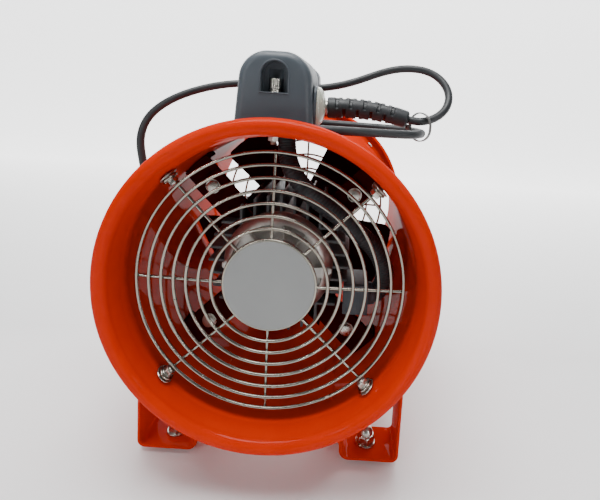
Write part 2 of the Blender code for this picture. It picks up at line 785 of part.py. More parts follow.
def make_motor():
    make_motor_frame()
    for k, corner in enumerate(CORNERS):
        make_mount_arm(f"mount_arm_{corner}", diagonal(k))
        make_mount_bolt(f"mount_bolt_{corner}", diagonal(k))
    centre = (0.0, 0.0, AXIS_Z)
    make_front_shield(centre)
    make_rear_shield(centre)
    make_stator(centre)
    make_bearing("front_bearing", at_depth(MOTOR_FRONT) - 0.0120, centre)
    make_bearing("rear_bearing", at_depth(MOTOR_BACK) - 0.0010, centre)


def make_rotating_group():
    """The shaft, rotor and impeller turn together about the duct's axis."""
    spindle = bpy.data.objects.new("spindle_axis", None)
    bpy.context.scene.collection.objects.link(spindle)
    spindle.location = (0.0, 0.0, AXIS_Z)
    begin = at_depth(MOTOR_FRONT) - 0.0115
    seat = at_depth(HUB_BACK) + GAP
    end = seat + 0.016
    thread_r = 0.005
    shaft = [(0.0, begin), (SHAFT_R, begin), (SHAFT_R, seat), (thread_r, seat), (thread_r, end), (0.0, end)]
    turned("motor_shaft", shaft, "steel", sides=16, parent=spindle)
    start, stop = (at_depth(depth) for depth in STACK_DEPTHS)
    inner, outer = SHAFT_R + GAP, 0.0297
    rotor = [(inner, start), (outer, start), (outer, stop), (inner, stop)]
    turned("motor_rotor", rotor, "steel", sides=24, closed=True, parent=spindle)
    make_impeller(spindle)
    washer = [(0.0, seat), (0.011, seat), (0.011, seat + 0.0018), (0.0, seat + 0.0018)]
    nut = turned("impeller_nut", washer, "zinc", sides=16, parent=spindle)
    hexed = prism("hex", hexagon(0.016), seat + 0.0015, seat + 0.0095, "zinc", parent=spindle)
    drill = peg("drill", thread_r + GAP, seat - 0.01, seat + 0.03, "Y", 12, (0.0, 0.0, 0.0), "zinc")
    drill.parent = spindle
    combine(combine(nut, [hexed], "UNION"), [drill], "DIFFERENCE")


def blade_mesh(turn):
    """One pressed blade, twisted from root to tip and cambered along its chord."""
    middle = (at_depth(HUB_FRONT) + at_depth(HUB_BACK)) / 2
    half_thickness = 0.0011
    spans = 4
    chords = 4
    rings = []
    for i in range(spans + 1):
        share = i / spans
        radius = BLADE_ROOT_R + (TIP_R - BLADE_ROOT_R) * share
        pitch = radians(44 - 20 * share)
        chord = 0.056 + 0.044 * share
        upper = []
        lower = []
        for j in range(chords + 1):
            s = (j / chords - 0.5) * chord
            camber = 0.007 * (1 - (2 * j / chords - 1) ** 2)
            along = s * sin(pitch) + camber * cos(pitch)
            sweep = (s * cos(pitch) - camber * sin(pitch)) / radius + turn
            for row, off in ((upper, half_thickness), (lower, -half_thickness)):
                row.append(Vector((radius * cos(sweep), middle + along + off, radius * sin(sweep))))
        rings.append(upper + list(reversed(lower)))
    return mesh_from(rings)


def make_impeller(spindle):
    front = at_depth(HUB_FRONT)
    back = at_depth(HUB_BACK)
    bore = SHAFT_R + GAP
    boss_r, cup_r, hub_r = 0.020, 0.038, 0.042
    floor = back - 0.004
    hub = [
        (bore, front + 0.012), (boss_r, front + 0.012), (boss_r, floor), (cup_r, floor),
        (cup_r, front), (hub_r, front), (hub_r, back), (bore, back),
    ]
    impeller = turned("impeller", hub, "dark_red_enamel", sides=25, closed=True, parent=spindle)
    blades = []
    for k in range(BLADES):
        turn = radians(FIRST_BLADE_DEG) + 2 * pi * k / BLADES
        blades.append(finish("blade", blade_mesh(turn), "dark_red_enamel", spindle))
    return combine(impeller, blades, "UNION")


# ---- handle, switch and cord entry --------------------------------------------------------
def arch(base_half, top_half, base_z, top_z, corner):
    """An arched outline with slightly tapering sides and large top corners."""
    shoulder = top_z - corner
    right = arc((top_half - corner, shoulder), corner, 0, 90, 6)
    left = [(-x, z) for x, z in reversed(right)]
    return [(-base_half, base_z), (base_half, base_z), *right, *left]


def post_mesh(start, end, front_round, back_round, halves, corner):
    """A pedestal: arch sections whose front and back edges are rounded."""
    turns = [radians(30 * i) for i in range(4)]
    sections = [(start + front_round * (1 - sin(a)), front_round * (1 - cos(a))) for a in reversed(turns)]
    sections += [(end - back_round * (1 - sin(a)), back_round * (1 - cos(a))) for a in turns]
    rings = []
    for y, inset in sections:
        flat = arch(halves[0] - inset, halves[1] - inset, AXIS_Z + 0.130, HANDLE_TOP - inset, corner - inset)
        rings.append([Vector((HANDLE_X + x, y, z)) for x, z in flat])
    return mesh_from(rings)


def grip_mesh():
    """The grip bar between the pedestals, with a rounded section and a slight waist."""
    start = at_depth(POST_DEPTHS[1] - 0.012)
    end = at_depth(REAR_POST_DEPTHS[0] + 0.012)
    rings = []
    for i in range(6):
        share = i / 5
        waist = 0.003 * sin(pi * share)
        wide = 0.0205 - waist
        top = HANDLE_TOP - 0.0005 - waist * 0.3
        corner = 0.009
        outline = arc((wide - corner, top - corner), corner, 0, 90, 4)
        outline += [(-x, z) for x, z in reversed(outline)]
        low = [(x, GRIP_BASE + top - z) for x, z in reversed(outline)]
        y = start + (end - start) * share
        rings.append([Vector((HANDLE_X + x, y, z)) for x, z in outline + low])
    return mesh_from(rings)


def pocket_cutters(front_y, inwards, screw_y):
    """The arched screw pocket, its round tool channel and the screw's hole."""
    outline = [(-POCKET_HALF, POCKET_FLOOR), (POCKET_HALF, POCKET_FLOOR)]
    outline += arc((0.0, POCKET_SHOULDER), POCKET_HALF, 0, 180, 9)
    ys = sorted((front_y - inwards * 0.010, front_y + inwards * POCKET_DEEP))
    place = (HANDLE_X, screw_y, 0.0)
    return [
        prism("pocket", outline, *ys, "steel", at=(HANDLE_X, 0, 0)),
        peg("channel", 0.0082, POCKET_FLOOR, POCKET_SHOULDER + 0.006, "Z", 16, place),
        peg("drill", 0.0036, AXIS_Z + 0.100, POCKET_FLOOR + 0.010, "Z", 10, place),
    ]


def make_handle():
    """One moulding: the front pedestal is the switch box, the rear one only carries the grip."""
    front_start, front_end = (at_depth(depth) for depth in POST_DEPTHS)
    rear_start, rear_end = (at_depth(depth) for depth in REAR_POST_DEPTHS)
    front_mesh = post_mesh(front_start, front_end, 0.009, 0.007, POST_HALVES, POST_CORNER)
    rear_mesh = post_mesh(rear_start, rear_end, 0.007, 0.009, REAR_POST_HALVES, REAR_POST_CORNER)
    handle = finish("handle", front_mesh, "black_plastic")
    grip = finish("grip", grip_mesh(), "black_plastic")
    rear = finish("rear_post", rear_mesh, "black_plastic")
    combine(handle, [grip, rear], "UNION")
    screw_front, screw_rear = handle_screw_ys()
    cutters = pocket_cutters(front_start, 1, screw_front) + pocket_cutters(rear_end, -1, screw_rear)
    roof_corner = 0.012
    spans = (
        (POST_HALVES, AXIS_Z + 0.204, front_start + POCKET_DEEP + 0.013, front_end - POST_WALL),
        (REAR_POST_HALVES, AXIS_Z + 0.200, rear_start + POST_WALL, rear_end - POCKET_DEEP - 0.011),
    )
    for halves, roof, start, end in spans:
        walls = [half - POST_WALL for half in halves]
        hollow = arch(*walls, AXIS_Z + 0.100, roof, roof_corner)
        cutters.append(prism("hollow", hollow, start, end, "steel", at=(HANDLE_X, 0, 0)))
    switch_y, gland_y = at_depth(SWITCH_DEPTH), at_depth(GLAND_DEPTH)
    outside = 0.080
    seat_half = 0.0225
    seat_low = (SEAT_X, switch_y - 0.0195, SWITCH_Z - seat_half)
    cutters.append(block("seat", seat_low, (outside, gland_y + 0.0145, SWITCH_Z + seat_half), "steel"))
    half_y, half_z = 0.0095, 0.0145
    low = (0.0, switch_y - half_y, SWITCH_Z - half_z)
    cutters.append(block("window", low, (outside, switch_y + half_y, SWITCH_Z + half_z), "steel"))
    cutters.append(peg("entry", 0.0072, 0.020, outside, "X", 14, (0, gland_y, GLAND_Z)))
    cutters.append(duct_cutter("cut_duct"))
    return combine(handle, cutters, "DIFFERENCE")


def make_handle_screw(name, y):
    """A socket-head screw with washers above the pedestal and a nut inside the duct."""
    floor = POCKET_FLOOR + GAP
    place = (HANDLE_X, y, floor)
    top = 0.0142
    head = [
        (0.0, 0.0), (0.0068, 0.0), (0.0068, 0.0014), (0.0050, 0.0014), (0.0050, 0.0034), (0.0055, 0.0034),
        (0.0055, top - 0.0006), (0.0050, top), (0.0030, top), (0.0030, top - 0.0047), (0.0, top - 0.0047),
    ]
    screw = turned(name, head, "zinc", axis="Z", sides=10, at=place)
    reach = AXIS_Z + 0.1400 - floor
    nut_top = AXIS_Z + BORE_R * cos(pi / DUCT_SIDES) - 0.0008 - floor
    stem = peg("stem", 0.0030, 0.001, reach, "Z", 8, place, "zinc")
    nut = prism("nut", hexagon(0.010), nut_top - 0.0052, nut_top, "zinc", axis="Z", at=place)
    return combine(screw, [stem, nut], "UNION")


def oval(half_y, half_z, x, sides=16, power=0.62):
    """A ring of points on a rounded rectangle that faces +X."""
    points = []
    for i in range(sides):
        a = 2 * pi * (i + 0.5) / sides
        u = abs(cos(a)) ** power * (1 if cos(a) > 0 else -1)
        v = abs(sin(a)) ** power * (1 if sin(a) > 0 else -1)
        points.append(Vector((x, half_y * u, half_z * v)))
    return points


def make_switch():
    make_switch_base()
    make_rocker()
    make_switch_cover()


def make_switch_base():
    """The switch's frame, its body inside the pedestal and the well that the rocker sits in."""
    place = (0.0, at_depth(SWITCH_DEPTH), SWITCH_Z)
    half_y, half_z = 0.0185, 0.0215
    edge = 0.0008
    rings = [oval(half_y, half_z, PLATE_X), oval(half_y, half_z, FACE_X - edge)]
    rings.append(oval(half_y - edge, half_z - edge, FACE_X))
    base = finish("switch_base", mesh_from(rings), "black_plastic", at=place)
    body = block("body", (0.013, -0.0088, -0.0138), (PLATE_X + 0.001, 0.0088, 0.0138), "black_plastic")
    body.location = place
    well = block("well", (0.0262, -0.0072, -0.0128), (0.06, 0.0072, 0.0128), "black_plastic")
    well.location = place
    return combine(combine(base, [body], "UNION"), [well], "DIFFERENCE")


def make_rocker():
    """The button, drawn level and then tilted to its resting position about its own pivot."""
    pivot = bpy.data.objects.new("rocker_axis", None)
    bpy.context.scene.collection.objects.link(pivot)
    pivot.location = (ROCKER_PIVOT_X, at_depth(SWITCH_DEPTH), SWITCH_Z)
    face = [(-0.0022, -0.0112), (0.0030, -0.0118), (0.0042, -0.0112), (0.0026, 0.0), (0.0042, 0.0112)]
    face += [(0.0030, 0.0118), (-0.0022, 0.0112), (-0.0036, 0.0)]
    outline = rotated(face, radians(ROCKER_REST_DEG))
    return prism("switch_rocker", outline, -0.0066, 0.0066, "rocker_red", parent=pivot)


def make_switch_cover():
    """The clear dome that keeps water out of the switch."""
    half_y, half_z = 0.0172, 0.0203
    high = 0.0082
    wall = 0.0011
    base = FACE_X + GAP
    outer = [oval(half_y, half_z, base)]
    inner = [oval(half_y - wall, half_z - wall, base)]
    for share in (0.35, 0.70, 0.92):
        top = base + high * sin(share * pi / 2)
        shrink = cos(share * pi / 2) ** 0.8
        inside = max(shrink - 0.06, 0.05)
        outer.append(oval(half_y * shrink, half_z * shrink, top))
        inner.append(oval(half_y * inside, half_z * inside, top - wall))
    outer.append([Vector((base + high, 0.0, 0.0))])
    inner.append([Vector((base + high - wall, 0.0, 0.0))])
    place = (0.0, at_depth(SWITCH_DEPTH), SWITCH_Z)
    return finish("switch_cover", mesh_from(list(reversed(inner)) + outer), "clear_cover", at=place)


def make_cord_entry():
    place = (0.0, at_depth(GLAND_DEPTH), GLAND_Z)
    end = BOOT_START - 0.0007
    flange = [
        (0.0, SEAT_X - 0.012), (0.0068, SEAT_X - 0.012), (0.0068, SEAT_X + GAP), (0.0126, SEAT_X + GAP),
        (0.0130, SEAT_X + 0.0035), (0.0085, SEAT_X + 0.0045), (0.0082, end), (0.0, end),
    ]
    turned("cable_gland", flange, "zinc", axis="X", sides=18, at=place)
    route = smooth_route(BOOT_ROUTE, 0.0085)
    last = len(route) - 1
    radii = [BOOT_R - BOOT_TAPER * (i / last) ** 2 for i in range(len(route))]
    points = [tuple(p) for p in route]
    direction = (route[-1] - route[-2]) / np.linalg.norm(route[-1] - route[-2])
    points.append(tuple(route[-1] + direction * 0.0025))
    radii.append(0.0072)
    swept("strain_relief_boot", points, radii, 12, "black_rubber")
    return Vector(points[-1]), Vector(direction)


# ---- power cord ---------------------------------------------------------------------------
def make_cord(tip, direction):
    """The cord from the boot's tip to the coil. The last points lead it alongside the coil."""
    start = tip + direction * 6 * GAP
    end = (COIL_CENTRE[0] - LANE_R, COIL_CENTRE[1], CORD_R + 0.0002)
    before = (end[0] - 0.0025, end[1] - 0.024, end[2])
    route = smooth_route([tuple(start), *CORD_ROUTE, before, end], CORD_SPACING)
    curve = bpy.data.curves.new("power_cord", "CURVE")
    curve.dimensions = "3D"
    curve.bevel_depth = CORD_R
    curve.bevel_resolution = 2
    curve.use_fill_caps = True
    spline = curve.splines.new("POLY")
    spline.points.add(len(route) - 1)
    for i, point in enumerate(route):
        spline.points[i].co = (*point, 1.0)
    curve.materials.append(MATERIALS["black_rubber"])
    cord = bpy.data.objects.new("power_cord", curve)
    bpy.context.scene.collection.objects.link(cord)


def make_coil():
    """The wound length as one ring, and the wrap that holds its turns."""
    half = CORD_R * COIL_ROWS
    inner, outer = COIL_R - half, COIL_R + half
    top = 2 * half
    chamfer = 0.002
    ring = [
        (inner + chamfer, 0.0), (outer - chamfer, 0.0), (outer, chamfer), (outer, top - chamfer),
        (outer - chamfer, top), (inner + chamfer, top), (inner, top - chamfer), (inner, chamfer),
    ]
    place = (*COIL_CENTRE, 0.0018)
    turned("cord_coil", ring, "black_rubber", axis="Z", sides=24, closed=True, at=place)


def make_plug():
    """A moulded three-pin plug that lies beside the coil, its relief towards the last turn."""
    x = COIL_CENTRE[0] + LANE_R + 0.004
    start = COIL_CENTRE[1] - 0.006
    rise = 0.0140
    turns = [2 * pi * i / 16 for i in range(16)]
    stations = [
        (0.0, 0.0052, 0.0052), (0.024, 0.0075, 0.0072), (0.030, 0.0120, 0.0100), (0.038, 0.0150, 0.0128),
        (0.060, 0.0150, 0.0128), (0.066, 0.0135, 0.0115), (0.070, 0.0130, 0.0110),
    ]
    rings = []
    for along, half_x, half_z in stations:
        rings.append([Vector((x + half_x * cos(a), start - along, rise + half_z * sin(a))) for a in turns])
    plug = finish("plug", mesh_from(rings), "black_rubber")
    root = start - 0.065
    pins = [peg("earth", 0.0024, start - 0.090, root, "Y", 10, (x, 0, rise - 0.0078), "black_rubber")]
    for side in (-1, 1):
        middle = x + side * PIN_SPACING / 2
        low = (middle - PIN_HALF_X, start - 0.088, rise - PIN_HALF_Z)
        pins.append(block("pin", low, (middle + PIN_HALF_X, root, rise + PIN_HALF_Z), "black_rubber"))
    return combine(plug, pins, "UNION")


def make_cord_tie():
    """A nylon tie round the boot's cord and the loop below it."""
    half_w, low, high = 0.0132, AXIS_Z + 0.1495, AXIS_Z + 0.1795
    thick = 0.0013
    band = 0.0018
    rings = []
    for w, grow in ((-band, 0.0), (band, 0.0), (band, thick), (-band, thick)):
        loop = arc((0.0, high - half_w), half_w + grow, 0, 180, 7)
        loop += arc((0.0, low + half_w), half_w + grow, 180, 360, 7)
        rings.append([Vector((u, w, z)) for u, z in loop])
    mesh = mesh_from(rings, closed_length=True)
    mesh.transform(Matrix.Rotation(radians(-45), 4, "Z"))
    return finish("cord_tie", mesh, "nylon", at=(0.1485, at_depth(0.0805), 0.0))


def make_coil_wrap():
    """A band that holds the coil's turns together."""
    inner_half = CORD_R * COIL_ROWS + 0.0006
    outer_half = inner_half + 0.0012
    band = 0.004
    square = ((-1, -1), (1, -1), (1, 1), (-1, 1))
    rings = []
    for w, half in ((-band, inner_half), (band, inner_half), (band, outer_half), (-band, outer_half)):
        rings.append([Vector((u * half, w, v * half)) for u, v in square])
    mesh = mesh_from(rings, closed_length=True)
    mesh.transform(Matrix.Translation((COIL_R, 0.0, outer_half)))
    mesh.transform(Matrix.Rotation(radians(-60), 4, "Z"))
    return finish("coil_wrap", mesh, "nylon", at=(*COIL_CENTRE, 0.0))


# ---- electrics inside the duct ------------------------------------------------------------
def make_motor_lead():
    """The sleeved lead from the switch box to the terminal box, and its grommet in the duct."""
    route = smooth_route(LEAD_ROUTE, LEAD_SPACING)
    swept("motor_lead", [tuple(p) for p in route], [LEAD_R] * len(route), 8, "black_rubber")
    bore = LEAD_R + 0.0007
    lip = LEAD_HOLE_R + 0.0017
    neck = LEAD_HOLE_R - 0.0007
    low, ledge, top = -0.0048, -0.0023, 0.0020
    grommet = [(bore, low), (lip, low), (lip, ledge), (neck, ledge), (neck, top), (bore, top)]
    place = (0, at_depth(LEAD_DEPTH), AXIS_Z + BORE_R)
    turned("lead_grommet", grommet, "black_rubber", axis="Z", sides=16, closed=True, at=place)


def make_terminal_box():
    """The box beside the motor that takes the lead's end, open at the front under its lid."""
    box = block("terminal_box", BOX_LOW, BOX_HIGH, "black_plastic")
    inner_low = (BOX_LOW[0] + BOX_WALL, BOX_LOW[1] - 0.010, BOX_LOW[2] + BOX_WALL)
    inner_high = (BOX_HIGH[0] - BOX_WALL, BOX_HIGH[1] - BOX_WALL, BOX_HIGH[2] - BOX_WALL)
    _, entry_y, entry_z = LEAD_ROUTE[-1]
    entry = peg("entry", 0.0085, BOX_HIGH[0] - 0.010, BOX_HIGH[0] + 0.010, "X", 12, (0.0, entry_y, entry_z))
    combine(box, [block("inner", inner_low, inner_high, "steel"), entry], "DIFFERENCE")
    lid_low = (BOX_LOW[0], BOX_LOW[1] - GAP - BOX_WALL, BOX_LOW[2])
    lid_high = (BOX_HIGH[0], BOX_LOW[1] - GAP, BOX_HIGH[2])
    block("terminal_box_lid", lid_low, lid_high, "black_plastic")
    middle = ((BOX_LOW[0] + BOX_HIGH[0]) / 2, 0.0, BOX_LOW[2] + BOX_WALL + GAP + CAPACITOR_R)
    can = (BOX_LOW[1] + 0.004, BOX_HIGH[1] - BOX_WALL - GAP)
    peg("run_capacitor", CAPACITOR_R, *can, "Y", 16, middle, "cast_alloy")


# ---- the whole ventilator -----------------------------------------------------------------
clear_scene()
MATERIALS = {name: make_material(name) for name in PAINTS}
make_duct()
make_feet()
make_guards()
make_motor()
make_rotating_group()
make_handle()
for end, screw_y in zip(("front", "rear"), handle_screw_ys()):
    make_handle_screw(f"handle_screw_{end}", screw_y)
make_switch()
make_cord(*make_cord_entry())
make_coil()
make_plug()
make_cord_tie()
make_coil_wrap()
make_motor_lead()
make_terminal_box()
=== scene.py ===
"""Looks of the portable 12-inch axial ventilator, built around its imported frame.

Metres, +Z up, the intake end faces -Y. Depths along the duct are measured backwards from the
plane of the front rim, as in the CAD model.
"""

import json
from math import copysign, cos, pi, radians, sin, sqrt

import bmesh
import bpy
import numpy as np
from mathutils import Matrix, Vector


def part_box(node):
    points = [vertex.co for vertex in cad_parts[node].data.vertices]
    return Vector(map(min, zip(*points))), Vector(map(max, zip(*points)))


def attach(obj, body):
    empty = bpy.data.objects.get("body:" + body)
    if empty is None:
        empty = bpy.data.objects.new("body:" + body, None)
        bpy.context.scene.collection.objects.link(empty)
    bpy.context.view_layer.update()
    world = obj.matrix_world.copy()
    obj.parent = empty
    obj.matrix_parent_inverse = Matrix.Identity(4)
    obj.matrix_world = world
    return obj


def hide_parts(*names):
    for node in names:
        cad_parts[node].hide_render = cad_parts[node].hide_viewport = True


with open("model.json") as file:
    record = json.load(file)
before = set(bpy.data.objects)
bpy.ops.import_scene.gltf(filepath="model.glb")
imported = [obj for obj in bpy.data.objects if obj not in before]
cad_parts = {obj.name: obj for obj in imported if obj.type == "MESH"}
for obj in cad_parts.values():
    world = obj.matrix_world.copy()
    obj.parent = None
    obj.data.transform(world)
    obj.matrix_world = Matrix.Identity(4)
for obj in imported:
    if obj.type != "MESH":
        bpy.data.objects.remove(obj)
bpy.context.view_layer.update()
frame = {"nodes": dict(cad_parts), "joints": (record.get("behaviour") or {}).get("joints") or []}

# ---- places and sizes taken from the frame -------------------------------------------------
JOINTS = {joint["name"]: joint for joint in frame["joints"]}
AXIS_Z = JOINTS["impeller_spin"]["pos_m"][2]
DUCT_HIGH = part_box("duct_casing")[1]
RIM_R = DUCT_HIGH[0]
BEAD_R = 0.008
RIM_PLANE = DUCT_HIGH[1] - BEAD_R
BORE_R = 0.150
SHEET = 0.002
CORNERS = ("upper_right", "upper_left", "lower_left", "lower_right")


def at_depth(depth):
    """The Y coordinate of a depth behind the front rim's plane."""
    return depth - RIM_PLANE


def diagonal(k):
    return radians(45 + 90 * k)


# ---- materials ------------------------------------------------------------------------------
MATERIALS = {}


def fill(node, **inputs):
    """Sets a node's sockets by name, with _ for a space."""
    for name, value in inputs.items():
        node.inputs[name.replace("_", " ")].default_value = value
    return node


class Surface:
    """A Principled material whose colour, roughness and bump come from procedural textures."""

    def __init__(self, name, colour, roughness, metallic=0.0, coat=0.0, coat_roughness=0.05):
        self.material = bpy.data.materials.new(name)
        self.material.use_nodes = True
        self.nodes = self.material.node_tree.nodes
        self.links = self.material.node_tree.links
        self.shader = fill(self.nodes["Principled BSDF"], Metallic=metallic, Coat_Weight=coat,
                           Coat_Roughness=coat_roughness, Base_Color=(*colour, 1.0), Roughness=roughness)
        self.colour = colour
        self.normal = None
        self.place = self.nodes.new("ShaderNodeTexCoord").outputs["Object"]
        MATERIALS[name] = self.material

    def node(self, kind, **inputs):
        return fill(self.nodes.new(kind), **inputs)

    def scaled(self, stretch):
        mapping = self.node("ShaderNodeMapping", Scale=stretch)
        self.links.new(self.place, mapping.inputs["Vector"])
        return mapping.outputs["Vector"]

    def noise(self, scale, detail, stretch=(1, 1, 1)):
        made = self.node("ShaderNodeTexNoise", Scale=scale, Detail=detail, Roughness=0.55, Distortion=0.0)
        self.links.new(self.scaled(stretch), made.inputs["Vector"])
        return made.outputs["Fac"]

    def cells(self, scale):
        made = self.node("ShaderNodeTexVoronoi", Scale=scale)
        self.links.new(self.scaled((1, 1, 1)), made.inputs["Vector"])
        return made.outputs["Distance"]

    def ranged(self, value, low, high, start=0.3, end=0.7):
        """Spreads a texture's values from start to end over low to high."""
        made = self.node("ShaderNodeMapRange", From_Min=start, From_Max=end, To_Min=low, To_Max=high)
        self.links.new(value, made.inputs["Value"])
        return made.outputs["Result"]

    def blend(self, share, first, second):
        """Mixes two colours; each is a tuple or another node's socket."""
        made = self.nodes.new("ShaderNodeMix")
        made.data_type = "RGBA"
        self.links.new(share, made.inputs["Factor"])
        for socket, colour in ((made.inputs["A"], first), (made.inputs["B"], second)):
            if isinstance(colour, tuple):
                socket.default_value = (*colour, 1.0)
            else:
                self.links.new(colour, socket)
        return made.outputs["Result"]

    def tint(self, share, second):
        """Mixes the colour so far with a second one by a texture."""
        self.colour = self.blend(share, self.colour, second)
        self.links.new(self.colour, self.shader.inputs["Base Color"])

    def shine(self, value, low, high):
        self.links.new(self.ranged(value, low, high), self.shader.inputs["Roughness"])

    def bump(self, height, strength, distance):
        made = self.node("ShaderNodeBump", Strength=strength, Distance=distance)
        self.links.new(height, made.inputs["Height"])
        if self.normal:
            self.links.new(self.normal, made.inputs["Normal"])
        self.normal = made.outputs["Normal"]
        self.links.new(self.normal, self.shader.inputs["Normal"])


def enamel(name, colour, deep, pale, sheen, gloss, coat):
    """Baked enamel; gloss is (lowest roughness, highest roughness)."""
    made = Surface(name, colour, gloss[0], coat=coat, coat_roughness=0.03)
    fill(made.shader, Specular_IOR_Level=0.0, Specular_Tint=(*sheen, 1.0))
    made.tint(made.ranged(made.noise(9.0, 2.0), 0.0, 0.55), deep)
    made.tint(made.ranged(made.noise(60.0, 4.0), 0.0, 0.22, 0.45, 0.75), pale)
    made.shine(made.noise(26.0, 4.0), *gloss)
    made.bump(made.noise(420.0, 2.0), 0.10, 0.0004)
    made.bump(made.noise(55.0, 2.0), 0.16, 0.0010)


def stock(name, colour, roughness, second, tone, shine, bumps, metallic=0.0, coat=0.0, **sockets):
    """A material of two colours. Its textures are given by what they do: tone is (scale, detail,
    share of the second colour), shine is (scale, detail, lowest and highest roughness) and each
    bump is (scale, detail, strength, distance). A last entry stretches the texture."""
    made = Surface(name, colour, roughness, metallic, coat)
    fill(made.shader, **sockets)
    made.tint(made.ranged(made.noise(*tone[:2]), 0.0, tone[2]), second)
    if shine:
        scale, detail, low, high, *stretch = shine
        made.shine(made.noise(scale, detail, *stretch), low, high)
    for scale, detail, strength, distance, *stretch in bumps:
        height = made.noise(scale, detail, *stretch) if detail else made.cells(scale)
        made.bump(height, strength, distance)


def metal(name, colour, dull, roughness, scale, depth, spread=0.16, stretch=(1, 1, 1)):
    shine = (scale, 4.0, max(0.05, roughness - spread / 2), roughness + spread, stretch)
    bump = (scale * 2.2, 3.0, 0.25, depth, stretch)
    stock(name, colour, roughness, dull, (38.0, 4.0, 0.75), shine, [bump], metallic=1.0)


def make_materials():
    enamel("orange_enamel", (0.56, 0.022, 0.002), (0.46, 0.015, 0.001), (0.62, 0.032, 0.004),
           (0.55, 0.24, 0.17), (0.24, 0.42), 0.13)
    # Dark red paint with painted shade: these colours are darkened to stand in for the shade that falls
    # inside the duct.
    enamel("dark_red_enamel", (0.042, 0.0026, 0.0020), (0.028, 0.0018, 0.0014), (0.060, 0.0045, 0.0035),
           (0.28, 0.10, 0.08), (0.50, 0.70), 0.0)
    metal("bright_wire", (0.36, 0.335, 0.285), (0.26, 0.24, 0.20), 0.23, 30.0, 0.00001, 0.06)
    metal("zinc", (0.62, 0.60, 0.55), (0.44, 0.42, 0.37), 0.26, 60.0, 0.00004, 0.10)
    metal("steel", (0.60, 0.60, 0.60), (0.40, 0.40, 0.40), 0.28, 150.0, 0.0002, stretch=(0.4, 8.0, 0.4))
    metal("cast_alloy", (0.62, 0.60, 0.56), (0.30, 0.29, 0.27), 0.42, 190.0, 0.0012)
    stock("motor_grey", (0.095, 0.098, 0.100), 0.42, (0.055, 0.057, 0.060), (35.0, 5.0, 0.7),
          (150.0, 4.0, 0.30, 0.60), [(500.0, 3.0, 0.30, 0.0004)], metallic=0.35)
    stock("copper", (0.62, 0.24, 0.10), 0.32, (0.30, 0.09, 0.03), (60.0, 3.0, 0.8),
          None, [(260.0, 2.0, 0.6, 0.0010, (0.2, 6.0, 0.2))], metallic=1.0)
    stock("black_plastic", (0.050, 0.062, 0.074), 0.46, (0.064, 0.080, 0.095), (18.0, 4.0, 0.55),
          (70.0, 4.0, 0.38, 0.56), [(1150.0, None, 0.22, 0.0003), (14.0, 2.0, 0.10, 0.0025)])
    stock("black_rubber", (0.020, 0.023, 0.025), 0.52, (0.026, 0.028, 0.031), (42.0, 5.0, 0.7),
          (90.0, 4.0, 0.36, 0.60), [(800.0, 3.0, 0.20, 0.0003)], Specular_IOR_Level=0.40)
    stock("grey_label", (0.255, 0.262, 0.258), 0.42, (0.225, 0.231, 0.230), (20.0, 4.0, 0.6),
          (240.0, 3.0, 0.34, 0.48, (0.2, 1, 4.0)), [(900.0, 2.0, 0.10, 0.0002)])
    stock("clear_cover", (0.80, 0.82, 0.72), 0.16, (0.66, 0.68, 0.58), (90.0, 3.0, 0.6),
          (120.0, 3.0, 0.14, 0.30), [(70.0, 2.0, 0.15, 0.0008)], Transmission_Weight=0.55, IOR=1.42)
    stock("rocker_red", (0.50, 0.020, 0.012), 0.22, (0.36, 0.012, 0.009), (80.0, 3.0, 0.5),
          (160.0, 3.0, 0.16, 0.32), [(500.0, 2.0, 0.10, 0.0003)], coat=0.3)
    stock("nylon", (0.16, 0.16, 0.155), 0.34, (0.11, 0.11, 0.105), (60.0, 3.0, 0.6),
          (200.0, 3.0, 0.26, 0.42), [(600.0, 2.0, 0.15, 0.0003)], Transmission_Weight=0.35)


# ---- shaping helpers ------------------------------------------------------------------------
def skin(rings, closed=False):
    """Skins rings of points into a mesh that faces outwards. A ring of one point is a pole."""
    work = bmesh.new()
    rows = [[work.verts.new(point) for point in ring] for ring in rings]
    pairs = list(zip(rows, rows[1:]))
    if closed:
        pairs.append((rows[-1], rows[0]))
    for low, high in pairs:
        count = max(len(low), len(high))
        for i in range(count):
            j = (i + 1) % count
            if len(low) == 1:
                work.faces.new((low[0], high[j], high[i]))
            elif len(high) == 1:
                work.faces.new((low[i], low[j], high[0]))
            else:
                work.faces.new((low[i], low[j], high[j], high[i]))
    if not closed:
        for row in (rows[0], rows[-1]):
            if len(row) > 2:
                work.faces.new(row)
    bmesh.ops.recalc_face_normals(work, faces=work.faces)
    mesh = bpy.data.meshes.new("shape")
    work.to_mesh(mesh)
    work.free()
    return mesh


def circle(sides, offset=0.0):
    """The angles of evenly spaced points round a full turn."""
    return [2 * pi * (i + offset) / sides for i in range(sides)]


AXES = {
    "X": lambda u, v, w: Vector((w, u, v)),
    "Y": lambda u, v, w: Vector((u, w, v)),
    "Z": lambda u, v, w: Vector((u, v, w)),
}


def lathe(profile, sides=64, axis="Y", closed=False):
    """A turned mesh: profile points are (radius, distance along the axis)."""
    place = AXES[axis]
    rings = []
    for radius, along in profile:
        if radius < 1e-7:
            rings.append([place(0.0, 0.0, along)])
        else:
            rings.append([place(*polar(radius, a), along) for a in circle(sides)])
    return skin(rings, closed)


def prism(outline, start, end):
    return skin([[Vector((u, w, v)) for u, v in outline] for w in (start, end)])


def block(low, high):
    outline = [(low[0], low[2]), (high[0], low[2]), (high[0], high[2]), (low[0], high[2])]
    return prism(outline, low[1], high[1])


def flats(across, angle):
    """How far a hexagon reaches in a direction."""
    return across / 2 / cos((angle + pi / 6) % (pi / 3) - pi / 6)


